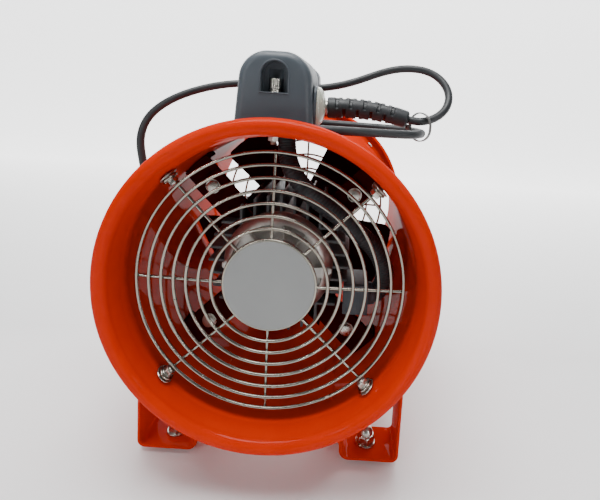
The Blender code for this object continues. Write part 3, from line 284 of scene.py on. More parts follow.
def hexed(across, stations, axis="Y", sides=60, phase=0.0):
    """A hexagonal solid: each station is (largest radius, distance along), so corners chamfer."""
    place = AXES[axis]
    turns = circle(sides)
    rings = []
    for limit, along in stations:
        if limit < 1e-7:
            rings.append([place(0.0, 0.0, along)])
        else:
            radii = [min(flats(across, a), limit) for a in turns]
            rings.append([place(*polar(r, a + phase), along) for r, a in zip(radii, turns)])
    return skin(rings)


def tube(path, radius, sides=12, closed=False):
    """A round tube along a path; radius is one number or one for each point."""
    points = [Vector(point) for point in path]
    count = len(points)
    radii = radius if hasattr(radius, "__len__") else [radius] * count
    turns = circle(sides)
    rings = []
    side = None
    for i, point in enumerate(points):
        if closed:
            ahead = (points[(i + 1) % count] - points[i - 1]).normalized()
        else:
            ahead = (points[min(i + 1, count - 1)] - points[max(i - 1, 0)]).normalized()
        if side is None:
            side = ahead.orthogonal().normalized()
        side = (side - ahead * side.dot(ahead)).normalized()
        up = ahead.cross(side)
        rings.append([point + radii[i] * (side * cos(a) + up * sin(a)) for a in turns])
    return skin(rings, closed)


def ball(centre, radii):
    """A small squashed sphere, used for weld bumps."""
    rings = 6
    profile = [(sin(pi * i / rings), -cos(pi * i / rings)) for i in range(1, rings)]
    profile = [(0.0, -1.0), *profile, (0.0, 1.0)]
    mesh = lathe(profile, 10, "Z")
    mesh.transform(Matrix.Translation(Vector(centre)) @ Matrix.Diagonal((*radii, 1.0)))
    return mesh


def merged(meshes):
    """Several meshes as one."""
    work = bmesh.new()
    for mesh in meshes:
        work.from_mesh(mesh)
        bpy.data.meshes.remove(mesh)
    result = bpy.data.meshes.new("shape")
    work.to_mesh(result)
    work.free()
    return result


def moved(mesh, x=0.0, y=0.0, z=0.0):
    mesh.transform(Matrix.Translation((x, y, z)))
    return mesh


def spoke(mesh, angle, y=0.0):
    """Turns a mesh built along +X into a spoke of the duct at an angle."""
    mesh.transform(Matrix.Translation((0.0, y, AXIS_Z)) @ Matrix.Rotation(-angle, 4, "Y"))
    return mesh


def placed(name, data):
    """A new object in the scene."""
    item = bpy.data.objects.new(name, data)
    bpy.context.scene.collection.objects.link(item)
    return item


def evaluated(item):
    """Applies an object's modifiers."""
    graph = bpy.context.evaluated_depsgraph_get()
    mesh = bpy.data.meshes.new_from_object(item.evaluated_get(graph))
    item.modifiers.clear()
    old = item.data
    item.data = mesh
    bpy.data.meshes.remove(old)
    return mesh


def softened(mesh, width, segments=2, angle=35.0):
    """Rounds a mesh's sharp edges."""
    item = placed("soften", mesh)
    modifier = item.modifiers.new("round", "BEVEL")
    modifier.width = width
    modifier.segments = segments
    modifier.limit_method = "ANGLE"
    modifier.angle_limit = radians(angle)
    bpy.context.view_layer.update()
    result = evaluated(item)
    bpy.data.objects.remove(item)
    return result


def carved(mesh, cutters, operation="DIFFERENCE"):
    """Cuts other meshes out of a mesh, or joins them to it."""
    item = placed("carve", mesh)
    for cutter in cutters:
        tool = placed("tool", cutter)
        modifier = item.modifiers.new("cut", "BOOLEAN")
        modifier.operation = operation
        modifier.solver = "EXACT"
        modifier.object = tool
        bpy.context.view_layer.update()
        evaluated(item)
        bpy.data.objects.remove(tool)
        bpy.data.meshes.remove(cutter)
    result = item.data
    bpy.data.objects.remove(item)
    return result


def piece(name, mesh, paint, replaces=(), body="housing", angle=32.0):
    """Puts a mesh in the scene as a named piece that rides on a body."""
    mesh.name = name
    mesh.materials.clear()
    mesh.materials.append(MATERIALS[paint])
    mesh.shade_smooth()
    mesh.set_sharp_from_angle(angle=radians(angle))
    item = placed(name, mesh)
    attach(item, body)
    if replaces:
        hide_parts(*replaces)
    return item


def arc(centre, radius, start, end, count):
    turns = [radians(start + (end - start) * i / (count - 1)) for i in range(count)]
    return [(centre[0] + radius * cos(a), centre[1] + radius * sin(a)) for a in turns]


def polar(radius, angle):
    return radius * cos(angle), radius * sin(angle)


def turned_points(points, angle):
    return [(u * cos(angle) - v * sin(angle), u * sin(angle) + v * cos(angle)) for u, v in points]


def millimetres(base, *points):
    """A profile from (radius, distance from the base) in millimetres."""
    return [(radius / 1000, base + along / 1000) for radius, along in points]


def superellipse(half_u, half_v, sides, power, offset=0.0):
    """Points of a rounded rectangle; a lower power makes its corners squarer."""
    points = []
    for a in circle(sides, offset):
        u, v = polar(1.0, a)
        points.append((half_u * copysign(abs(u) ** power, u), half_v * copysign(abs(v) ** power, v)))
    return points


def smooth_route(points, spacing):
    """Evenly spaced points on the natural cubic spline through a route's points."""
    knots = np.array(points, dtype=float)
    steps = np.linalg.norm(np.diff(knots, axis=0), axis=1)
    count = len(knots)
    system = np.eye(count)
    right = np.zeros((count, 3))
    for i in range(1, count - 1):
        system[i, i - 1 : i + 2] = (steps[i - 1], 2 * (steps[i - 1] + steps[i]), steps[i])
        change = (knots[i + 1] - knots[i]) / steps[i] - (knots[i] - knots[i - 1]) / steps[i - 1]
        right[i] = 6 * change
    bend = np.linalg.solve(system, right)
    fine = []
    for i, step in enumerate(steps):
        for t in np.linspace(0.0, step, 40, endpoint=False):
            back = step - t
            point = (bend[i] * back**3 + bend[i + 1] * t**3) / (6 * step)
            point = point + (knots[i] / step - bend[i] * step / 6) * back
            point = point + (knots[i + 1] / step - bend[i + 1] * step / 6) * t
            fine.append(point)
    fine.append(knots[-1])
    fine = np.array(fine)
    run = np.concatenate([[0.0], np.cumsum(np.linalg.norm(np.diff(fine, axis=0), axis=1))])
    stations = np.linspace(0.0, run[-1], int(round(run[-1] / spacing)) + 1)
    return np.stack([np.interp(stations, run, fine[:, k]) for k in range(3)], axis=1)


def offset_path(path, distance):
    """Moves a polyline sideways, keeping its corners mitred."""
    result = []
    for i, point in enumerate(path):
        before = Vector(path[i]) - Vector(path[max(i - 1, 0)])
        after = Vector(path[min(i + 1, len(path) - 1)]) - Vector(path[i])
        before = before.normalized() if before.length else after.normalized()
        after = after.normalized() if after.length else before
        mean = (before + after).normalized()
        normal = Vector((-mean.y, mean.x))
        result.append(tuple(Vector(point) + normal * distance / max(0.5, mean.dot(before))))
    return result


def sheet_outline(path, thickness):
    """The outline of a bent sheet from its middle line, with the ends left square."""
    return offset_path(path, thickness / 2) + list(reversed(offset_path(path, -thickness / 2)))


# ---- camera ---------------------------------------------------------------------------------
CAMERA_AT = (0.0702, -0.5886, 0.4228)
CAMERA_YAW = radians(-0.1)
CAMERA_PITCH = radians(-6.5)
CAMERA_ROLL = radians(3.6)
CAMERA_LENS = 25.8
CAMERA_SHIFT = (-0.079, -0.178)


def make_camera():
    data = bpy.data.cameras.new("camera")
    data.sensor_width = 36.0
    data.lens = CAMERA_LENS
    data.shift_x, data.shift_y = CAMERA_SHIFT
    data.clip_start = 0.01
    camera = placed("camera", data)
    level = cos(CAMERA_PITCH)
    ahead = Vector((sin(CAMERA_YAW) * level, cos(CAMERA_YAW) * level, sin(CAMERA_PITCH)))
    right = ahead.cross(Vector((0, 0, 1))).normalized()
    up = right.cross(ahead)
    rolled = right * cos(CAMERA_ROLL) + up * sin(CAMERA_ROLL)
    top = up * cos(CAMERA_ROLL) - right * sin(CAMERA_ROLL)
    turn = Matrix((rolled, top, -ahead)).transposed().to_4x4()
    camera.matrix_world = Matrix.Translation(CAMERA_AT) @ turn
    bpy.context.scene.camera = camera


# ---- power cord, coil and plug ----------------------------------------------------------------
CORD_R = 0.0045
COIL_LOW, COIL_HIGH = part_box("cord_coil")
COIL_CENTRE = ((COIL_LOW[0] + COIL_HIGH[0]) / 2, (COIL_LOW[1] + COIL_HIGH[1]) / 2)
COIL_OUTER = (COIL_HIGH[0] - COIL_LOW[0]) / 2 - CORD_R
COIL_INNER = COIL_OUTER - 2 * CORD_R
COIL_LAYERS = (COIL_LOW[2] + CORD_R, COIL_LOW[2] + 3 * CORD_R)
COIL_TURNS = 3.5
PLUG_LOW, PLUG_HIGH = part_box("plug")
PLUG_X = (PLUG_LOW[0] + PLUG_HIGH[0]) / 2
PLUG_TAIL = PLUG_HIGH[1]
PLUG_Z = 0.0140
PLUG_LENGTH = 0.070
PIN_SPREAD = 0.00635
LANE_R = COIL_OUTER + 2 * CORD_R + 0.0003
SWITCH_DEPTH = 0.054
SWITCH_Z = AXIS_Z + 0.181
SEAT_X = 0.0325
GLAND_DEPTH = 0.088
GLAND_Z = AXIS_Z + 0.1795
BOOT_START = 0.0450
BOOT_ROUTE = [
    (BOOT_START, at_depth(GLAND_DEPTH), GLAND_Z),
    (0.070, at_depth(0.0875), AXIS_Z + 0.1802),
    (0.094, at_depth(0.0860), AXIS_Z + 0.1790),
    (0.114, at_depth(0.0840), AXIS_Z + 0.1762),
    (0.1325, at_depth(0.0822), AXIS_Z + 0.1722),
]
BOOT_TIP = 0.0025
TIE_AT = (0.1485, at_depth(0.0805))


def route_point(x, depth, height):
    """A point of the cord's route from its X, its depth and its height over the fan's axis."""
    return (x / 1000, at_depth(depth / 1000), AXIS_Z + height / 1000)


CORD_ROUTE = [route_point(*place) for place in (
    (145.4, 80.7, 170.4), (163.9, 83.3, 174.9), (177.4, 91.4, 185.9), (182.4, 102.5, 200.7),
    (177.4, 113.6, 215.5), (163.9, 121.7, 226.3), (145.4, 124.7, 230.3), (112, 128.5, 226),
    (78, 131, 213), (38, 131.5, 202), (0, 131.5, 199.5), (-42, 130, 201.5), (-80, 126, 198.5),
    (-118, 119, 188), (-147, 110, 172.5), (-166, 104, 152), (-171.5, 100, 130), (-168, 98, 105),
    (-162.5, 97.5, 76), (-159.5, 97.5, 46), (-159, 92.1, 26), (-158.5, 77.5, 11.4), (-158.5, 57.5, 6),
    (-158.5, 37.5, 11.4), (-158.5, 22.9, 26), (-156.5, 17.5, 46), (-140, 16.5, 84), (-115, 16.5, 115),
    (-80, 17, 141), (-40, 17.5, 156), (0, 18, 160), (40, 19.5, 160), (77, 29, 159.3),
    (100, 35.7, 158.7), (121.6, 42, 158.3), (130.5, 45.7, 158.1), (144.8, 60, 158), (150, 79.5, 157.9),
    (144.8, 99, 158), (130.5, 113.3, 158.1), (116.8, 118.1, 158.3), (100, 120.8, 158.4),
    (77, 124.5, 158.5), (38, 130, 158.5), (0, 132, 158.3), (-40, 135, 154), (-80, 139, 137),
    (-113, 145, 112), (-138, 153, 78), (-153, 164, 40), (-159, 178, 0), (-161, 194, -50),
    (-162, 212, -105), (-163, 232, -158), (-163, 258, -199), (-161, 297, -218), (-152, 340, -222.2),
    (-136, 380, -222.3),
)]


def eased(value, start, end, first, second):
    """Goes smoothly from first to second while value goes from start to end."""
    share = min(max((value - start) / (end - start), 0.0), 1.0)
    return first + (second - first) * share * share * (3 - 2 * share)


def coil_points():
    """The turns: round the outside, in, up on the first layer, and out again on top."""
    points = []
    steps = int(COIL_TURNS * 28)
    for i in range(steps + 1):
        t = COIL_TURNS * i / steps
        radius = eased(t, 0.0, 0.26, LANE_R, COIL_OUTER)
        radius = eased(t, 1.02, 1.30, radius, COIL_INNER)
        radius = eased(t, 3.02, 3.50, radius, PLUG_X - COIL_CENTRE[0])
        height = eased(t, 0.0, 0.26, CORD_R + 0.0002, COIL_LAYERS[0])
        height = eased(t, 2.00, 2.26, height, COIL_LAYERS[1])
        angle = pi - 2 * pi * t
        points.append((COIL_CENTRE[0] + radius * cos(angle), COIL_CENTRE[1] + radius * sin(angle), height))
    return points


def boot_tip():
    """The boot's smooth centre line, its tip, and the direction that the cord leaves it in."""
    route = smooth_route(BOOT_ROUTE, 0.0085)
    direction = (route[-1] - route[-2]) / np.linalg.norm(route[-1] - route[-2])
    return route, route[-1] + direction * BOOT_TIP, direction


def make_cord(with_pieces):
    _, tip, _ = boot_tip()
    into_plug = (PLUG_X, PLUG_TAIL - 0.010, PLUG_Z)
    route = smooth_route([tuple(tip), *CORD_ROUTE, *coil_points(), into_plug], 0.006)
    curve = bpy.data.curves.new("mains_cord", "CURVE")
    curve.dimensions = "3D"
    curve.bevel_depth = CORD_R
    curve.bevel_resolution = 5
    curve.use_fill_caps = True
    spline = curve.splines.new("POLY")
    spline.points.add(len(route) - 1)
    for i, point in enumerate(route):
        spline.points[i].co = (*point, 1.0)
    spline.use_smooth = True
    curve.materials.append(MATERIALS["black_rubber"])
    cord = placed("mains_cord", curve)
    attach(cord, "housing")
    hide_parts("power_cord", "cord_coil")
    tuple(tip)


def make_plug():
    """A moulded plug with a ribbed tail, a waisted grip and three pins."""
    body = []
    stations, sides = 60, 40
    for i in range(stations + 1):
        along = PLUG_LENGTH * i / stations
        grip = eased(along, 0.022, 0.036, 0.0, 1.0)
        nose = eased(along, 0.058, 0.069, 0.0, 1.0)
        rib = 0.0006 * (1 if along < 0.024 and int(along / 0.0024) % 2 else 0)
        waist = 0.0012 * sin(pi * min(max((along - 0.036) / 0.024, 0.0), 1.0))
        flare = along / 0.024 * (1 - grip)
        half_x = 0.0054 + 0.0016 * flare + 0.0092 * grip - 0.0018 * nose - rib - waist
        half_z = 0.0054 + 0.0014 * flare + 0.0068 * grip - 0.0016 * nose - rib - waist
        ring = superellipse(half_x, half_z, sides, 1.0 - 0.28 * grip)
        body.append([Vector((PLUG_X + u, PLUG_TAIL - along, PLUG_Z + v)) for u, v in ring])
    shell = piece("plug_body", skin(body), "black_rubber", ["plug"])
    pins = []
    for x in (PLUG_X - PIN_SPREAD, PLUG_X + PIN_SPREAD):
        low = (x - 0.0008, PLUG_TAIL - 0.088, PLUG_Z - 0.0032)
        high = (x + 0.0008, PLUG_TAIL - 0.066, PLUG_Z + 0.0032)
        pins.append(softened(block(low, high), 0.0004))
    earth = millimetres(0.0, (0, -89.5), (1.2, -89.3), (2.2, -88.2), (2.4, -86), (2.4, -66), (0, -66))
    pins.append(moved(lathe(earth, 24), PLUG_X, PLUG_TAIL, PLUG_Z - 0.0078))
    blades = piece("plug_pins", merged(pins), "zinc")
    return [shell, blades]


def cord_tie():
    """A nylon tie round the boot's cord and the loop below it."""
    half_w, low, high = 0.0132, AXIS_Z + 0.1495, AXIS_Z + 0.1795
    thick, band = 0.0013, 0.0018
    edge = 0.0003
    section = [
        (-band, edge), (-band + edge, 0.0), (band - edge, 0.0), (band, edge), (band, thick - edge),
        (band - 0.0004, thick), (-band + 0.0004, thick), (-band, thick - edge),
    ]
    rings = []
    for w, grow in section:
        loop = arc((0.0, high - half_w), half_w + grow, 0, 180, 24)
        loop += arc((0.0, low + half_w), half_w + grow, 180, 360, 24)
        rings.append([Vector((u, w, z)) for u, z in loop])
    head = block((-half_w - 0.0052, -0.0027, AXIS_Z + 0.1605), (-half_w + 0.0002, 0.0027, AXIS_Z + 0.1660))
    tail = block((-half_w - 0.0150, -0.0016, AXIS_Z + 0.1628), (-half_w - 0.0040, 0.0016, AXIS_Z + 0.1639))
    tie = merged([skin(rings, closed=True), softened(head, 0.0007), softened(tail, 0.0004)])
    tie.transform(Matrix.Rotation(radians(-45), 4, "Z"))
    return piece("cord_tie_strap", moved(tie, *TIE_AT), "nylon", ["cord_tie"])


def coil_wrap():
    """A band round the coil's turns."""
    half = (COIL_OUTER - COIL_INNER + 2 * CORD_R + 0.0006) / 2 - 0.0003
    outer = half + 0.0011
    band = 0.0040
    rings = []
    inside, outside = (half, 0.0030), (outer, 0.0041)
    for w, (extent, corner) in ((-band, inside), (band, inside), (band, outside), (-band, outside)):
        inner = extent - corner
        outline = []
        for turn, (sx, sz) in enumerate(((1, 1), (-1, 1), (-1, -1), (1, -1))):
            outline += arc((sx * inner, sz * inner), corner, 90 * turn, 90 * turn + 90, 6)
        rings.append([Vector((u, w, v)) for u, v in outline])
    wrap = moved(skin(rings, closed=True), (COIL_OUTER + COIL_INNER) / 2, 0.0, COIL_LOW[2] + 2 * CORD_R)
    wrap.transform(Matrix.Translation((*COIL_CENTRE, 0.0)) @ Matrix.Rotation(radians(-60), 4, "Z"))
    return piece("coil_wrap_band", wrap, "nylon", ["coil_wrap"])


# ---- duct and feet ----------------------------------------------------------------------------
CREASE_DEPTH = 0.0175
DUCT_SIDES = 180
SEAM_ANGLE = radians(-62)
SEAM_HALF = 0.158


def duct_end():
    """The sheet's middle line at one end: rolled bead, short flare, crease and plain wall."""
    middle = BEAD_R - SHEET / 2
    curl = arc((RIM_R - BEAD_R, -RIM_PLANE), middle, 60.0, -180.0, 26)
    wall = BORE_R + SHEET / 2
    flare = []
    for i in range(1, 9):
        share = i / 8
        radius = RIM_R - BEAD_R - middle - 0.0032 * sin(share * pi / 2)
        flare.append((radius, at_depth(CREASE_DEPTH * share)))
    flare += [(wall + 0.0002, at_depth(CREASE_DEPTH + 0.0012)), (wall, at_depth(0.0300))]
    return curl + flare


def make_duct():
    front = duct_end()
    rear = [(r, -y) for r, y in reversed(front)]
    shell = lathe(sheet_outline(front + rear, SHEET), DUCT_SIDES, closed=True)
    piece("duct_shell", moved(shell, z=AXIS_Z), "orange_enamel", ["duct_casing"])
    beads = []
    count = 150
    for radius in (BORE_R + SHEET + 0.0002, BORE_R - 0.0002):
        path, widths = [], []
        for i in range(count):
            x, z = polar(radius + 0.0001 * sin(i * 2.1), SEAM_ANGLE + 0.0006 * sin(i * 0.9))
            path.append((x, SEAM_HALF * (2 * i / (count - 1) - 1), AXIS_Z + z))
            widths.append(0.0012 + 0.00022 * sin(i * 1.7))
        beads.append(tube(path, widths, 8))
    piece("duct_seam", merged(beads), "orange_enamel")


FOOT_X = 0.150
FOOT_SHEET = 0.003
FOOT_BASE_Z = 0.006
FOOT_NUT_X = 0.113
FOOT_DEPTHS = (0.053, 0.103)
FOOT_LEAN_DEG = 22
FOOT_RISE = 0.0725


def foot_middle_line(side):
    """The bent sheet's middle line: outer wall, floor and the inner wall that leans inwards."""
    half = FOOT_SHEET / 2
    outer = FOOT_X - half
    floor = FOOT_BASE_Z + half
    line = [(outer, AXIS_Z - 0.034), (outer, floor + 0.007)]
    line += arc((outer - 0.007, floor + 0.007), 0.007, 0, -90, 9)[1:]
    line += arc((0.093, floor + 0.010), 0.010, -90, -180 - FOOT_LEAN_DEG, 14)
    x, z = line[-1]
    lean = radians(FOOT_LEAN_DEG)
    line.append((x - FOOT_RISE * sin(lean), z + FOOT_RISE * cos(lean)))
    return [(side * x, z) for x, z in line]


def weld_bead(start, end, radius, lumps, seed):
    """A fillet of weld between two points, with the ripples that the torch leaves."""
    path, widths = [], []
    count = lumps * 4
    for i in range(count + 1):
        share = i / count
        ripple = Vector((0.00015, 0.0, 0.0002)) * sin(seed + i * 0.7)
        path.append(Vector(start).lerp(Vector(end), share) + ripple)
        taper = min(1.0, 5 * share + 0.25, 5 * (1 - share) + 0.25)
        widths.append(radius * taper * (0.92 + 0.12 * sin(i * pi / 2 + seed)))
    return tube(path, widths, 8)


def make_feet():
    near, far = (at_depth(depth) for depth in FOOT_DEPTHS)
    top = AXIS_Z - 0.0350
    for end, flip in (("front", 1), ("rear", -1)):
        start, stop = sorted((flip * near, flip * far))
        middle = (start + stop) / 2
        for hand, side in (("left", -1), ("right", 1)):
            line = foot_middle_line(side)
            bracket = softened(prism(sheet_outline(line, FOOT_SHEET), start, stop), 0.0007, 3, 40)
            piece(f"bracket_{end}_{hand}", bracket, "orange_enamel", [f"foot_{end}_{hand}"])
            x = side * 0.1496
            welds = []
            for y in (start, stop):
                low, high = (x, y, top - 0.004), (side * 0.1502, y, top + 0.0005)
                welds.append(weld_bead(low, high, 0.0014, 3, y * 90))
            welds.append(weld_bead((x, start, top + 0.0008), (x, stop, top + 0.0008), 0.0017, 12, side))
            inner = line[-1][0]
            reach = sqrt((BORE_R + SHEET + 0.0008) ** 2 - (inner + side * 0.0016) ** 2)
            z = AXIS_Z - reach - 0.0006
            for shift in (-0.0022, 0.0022):
                x = inner + side * 0.0014 + shift
                welds.append(weld_bead((x, start, z), (x, stop, z), 0.0015, 12, shift * 900))
            piece(f"bracket_weld_{end}_{hand}", merged(welds), "orange_enamel")
            make_rubber_foot(f"{end}_{hand}", side * FOOT_NUT_X, middle)
            make_cap_nut(f"{end}_{hand}", side * FOOT_NUT_X, middle)


def make_rubber_foot(where, x, y):
    top = FOOT_BASE_Z - 0.0003
    profile = millimetres(0.0, (0, 0.6), (6, 0.6), (6.4, 0), (12, 0), (13.4, 0.7), (14, 2))
    profile += millimetres(top, (13.4, -0.6), (12.6, 0), (5.8, 0), (0, 0))
    pad = moved(lathe(profile, 56, "Z"), x, y)
    piece(f"rubber_pad_{where}", pad, "black_rubber", [f"rubber_foot_{where}"])
    stud = millimetres(top, (0, -1), (5.6, -1))
    for i in range(9):
        stud += millimetres(top, (5.2, 0.4 + 0.8 * i), (5.8, 0.8 + 0.8 * i))
    stud += [(0.0050, 0.0135), (0.0, 0.0135)]
    piece(f"foot_stud_{where}", moved(lathe(stud, 32, "Z"), x, y), "zinc")


def washer(inner, outer, base, thickness, sides=64, axis="Z"):
    edge = thickness * 0.28
    profile = [
        (inner, base), (outer - edge, base), (outer, base + edge), (outer, base + thickness - edge),
        (outer - edge, base + thickness), (inner + edge, base + thickness), (inner, base + thickness - edge),
    ]
    return lathe(profile, sides, axis, closed=True)


def make_cap_nut(where, x, y):
    """A domed nut over its flat washer."""
    base = FOOT_BASE_Z + FOOT_SHEET + 0.0003
    corner = 9.5 / cos(pi / 6)
    stations = millimetres(
        base, (0, 1.8), (9, 1.8), (9.7, 2.1), (corner, 3), (corner, 9.8), (10, 11), (9.3, 11.7), (8.5, 11.9),
        (8.4, 13), *[(8.4 * cos(i * pi / 18), 13 + 8.7 * sin(i * pi / 18)) for i in range(1, 9)], (0, 21.7),
    )
    parts = [washer(0.0062, 0.0120, base, 0.0018), hexed(0.0190, stations, "Z", 96, radians(12))]
    piece(f"domed_nut_{where}", moved(merged(parts), x, y), "zinc", [f"cap_nut_{where}"])


# ---- guards -------------------------------------------------------------------------------------
RING_R = [0.059 + 0.01275 * i for i in range(7)]
DISC_R = 0.047
WIRE_R = 0.0017
GUARD_DEPTH = 0.0145
GUARD_DOME = 0.0045
GUARD_BOLT_DEPTH = 0.019
EYE_R = 0.0070
EYE_PLACE_R = 0.1455
REAR_RING_STEP = 0.0255
SPOKE_SUNK = WIRE_R * 1.75
SPOKE_STOPS = (0.062, 0.075, 0.090, 0.105, 0.120)


def guard_dish(radius):
    return GUARD_DEPTH + GUARD_DOME * (radius / RING_R[-1]) ** 2


def make_guard(name, node, flip, radii, disc):
    """Round wires: rings in front of radial spokes, a weld bump where they cross, bolt eyes."""

    def ring(radius, depth, count):
        return [place(radius, angle, depth) for angle in circle(count)]

    def place(radius, angle, depth):
        x, z = polar(radius, angle)
        return (x, flip * at_depth(depth), z)

    wires = []
    for radius in radii:
        wires.append(tube(ring(radius, guard_dish(radius), 160), WIRE_R, 12, closed=True))
        joint = place(radius, 0.35 + radius * 31.0, guard_dish(radius))
        wires.append(ball(joint, (0.0021, 0.0021, 0.0021)))
    plate_r = disc if disc else 0.020
    plate_depth = guard_dish(DISC_R) + 0.0010
    eye_depth = GUARD_BOLT_DEPTH + EYE_R
    for k in range(8):
        angle = k * pi / 4
        stops = [(r, guard_dish(r) + SPOKE_SUNK) for r in (plate_r - 0.004, *SPOKE_STOPS, RING_R[-1])]
        if k % 2:
            stops += [(RING_R[-1] + 0.0025, eye_depth - 0.0006), (EYE_PLACE_R, eye_depth + 0.0004)]
        wires.append(tube([place(radius, angle, depth) for radius, depth in stops], WIRE_R * 0.96, 12))
        for radius in radii:
            crossing = place(radius, angle, guard_dish(radius) + SPOKE_SUNK * 0.5)
            wires.append(ball(crossing, (0.0023, 0.0021, 0.0023)))
    for k in range(4):
        loop = [(EYE_PLACE_R, *polar(EYE_R, angle)) for angle in circle(40)]
        eye = tube(loop, WIRE_R * 0.9, 12, closed=True)
        eye.transform(Matrix.Rotation(-diagonal(k), 4, "Y"))
        wires.append(moved(eye, y=flip * at_depth(GUARD_BOLT_DEPTH)))
    start, stop = flip * at_depth(plate_depth), flip * at_depth(plate_depth + 0.003)
    edge = 0.0006 * flip
    plate = [(0.0, start), (plate_r - 0.0006, start), (plate_r, start + edge), (plate_r, stop - edge)]
    plate += [(plate_r - 0.0006, stop), (0.0, stop)]
    wires.append(lathe(plate, 96))
    if disc:
        wires.append(tube(ring(disc - 0.0003, plate_depth + 0.0006, 120), 0.0018, 12, closed=True))
    piece(name, moved(merged(wires), z=AXIS_Z), "bright_wire", [node])


def make_badge():
    """A plain satin disc, slightly crowned, with a rolled-over edge."""
    low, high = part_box("badge_disc")
    radius = (high[0] - low[0]) / 2
    face = low[1]
    profile = [(0.0, high[1]), (radius, high[1]), (radius, face + 0.0007), (radius - 0.0003, face + 0.0003)]
    profile += [(radius - 0.0009, face + 0.0002), (radius - 0.0020, face + 0.0005)]
    profile += [(radius * (1 - i / 8), face + 0.0005 - 0.0004 * sin(i / 8 * pi / 2)) for i in range(1, 8)]
    profile.append((0.0, face + 0.0001))
    piece("badge_plain", moved(lathe(profile, 128), z=AXIS_Z), "grey_label", ["badge_disc"])


def threads(radius, start, end):
    """A profile of thread crests, about a millimetre apart, between two distances."""
    points = []
    count = int(abs(end - start) / 0.0010)
    step = (end - start) / count
    for i in range(count):
        points += [(radius - 0.0004, start + step * i), (radius, start + step * (i + 0.5))]
    points.append((radius - 0.0004, end))
    return points


def make_guard_bolts():
    """Screws through the duct's wall: round head outside; washer, wire eye and nut inside."""
    corner_r = 5 / cos(pi / 6)
    head = ((5.3, 153.5), (5.6, 154), (5, 155), (3.6, 155.7), (2, 156), (1.8, 155.2), (0, 155.2))
    nut = ((0, 138.8), (4.6, 138.8), (corner_r, 139.4), (corner_r, 143), (4.8, 143.6), (0, 143.6))
    for end, flip in (("front", 1), ("rear", -1)):
        y = flip * at_depth(GUARD_BOLT_DEPTH)
        for k, corner in enumerate(CORNERS):
            shank = millimetres(0.0, (0, 138.2), (2.2, 138.2)) + threads(0.0030, 0.1386, 0.1534)
            parts = [
                lathe(shank + millimetres(0.0, *head), 32, "X"),
                hexed(0.010, millimetres(0.0, *nut), "X", 48, 0.2 + k),
                washer(0.0031, 0.0095, 0.1475, 0.0012, 56, "X"),
                washer(0.0031, 0.0062, 0.1464, 0.0010, 48, "X"),
                washer(0.0031, 0.0060, 0.1436, 0.0008, 48, "X"),
            ]
            screw = spoke(merged(parts), diagonal(k), y)
            piece(f"{end}_guard_screw_{corner}", screw, "zinc", [f"{end}_guard_bolt_{corner}"])


# ---- motor --------------------------------------------------------------------------------------
MOTOR_FRONT = 0.072
MOTOR_BACK = 0.190
MOTOR_CORE_R = 0.057
MOTOR_FIN_R = 0.080
FIN_PITCH = 0.0148
EAR_DEPTH = 0.088
EAR_BOLT_R = 0.115
EAR_END_R = 0.1275
ARM_HALF = 0.017
ARM_INNER_R = 0.097
SHAFT_R = 0.0075
HUB_FRONT = 0.216
HUB_BACK = 0.270
TIP_R = 0.1455
BLADES = 5
FIRST_BLADE_DEG = 52
ROOT_PITCH_DEG = 44


def fin_outline():
    """The frame's section: a round core with seven straight, round-tipped fins on each quarter."""
    points = []
    thick = 0.0015
    for quarter in range(4):
        for i in range(-3, 4):
            u = i * FIN_PITCH
            left, right = u - thick, u + thick
            bases = [max(sqrt(MOTOR_CORE_R**2 - x**2), abs(x) + 0.0006) for x in (left, right)]
            tips = [sqrt(MOTOR_FIN_R**2 - x**2) - 0.0009 for x in (left, right)]
            crown = sqrt(MOTOR_FIN_R**2 - u**2) - 0.0002
            local = [(left, bases[0]), (left, tips[0]), (u - thick * 0.6, crown), (u + thick * 0.6, crown)]
            points += turned_points([*local, (right, tips[1]), (right, bases[1])], -quarter * pi / 2)
    return points


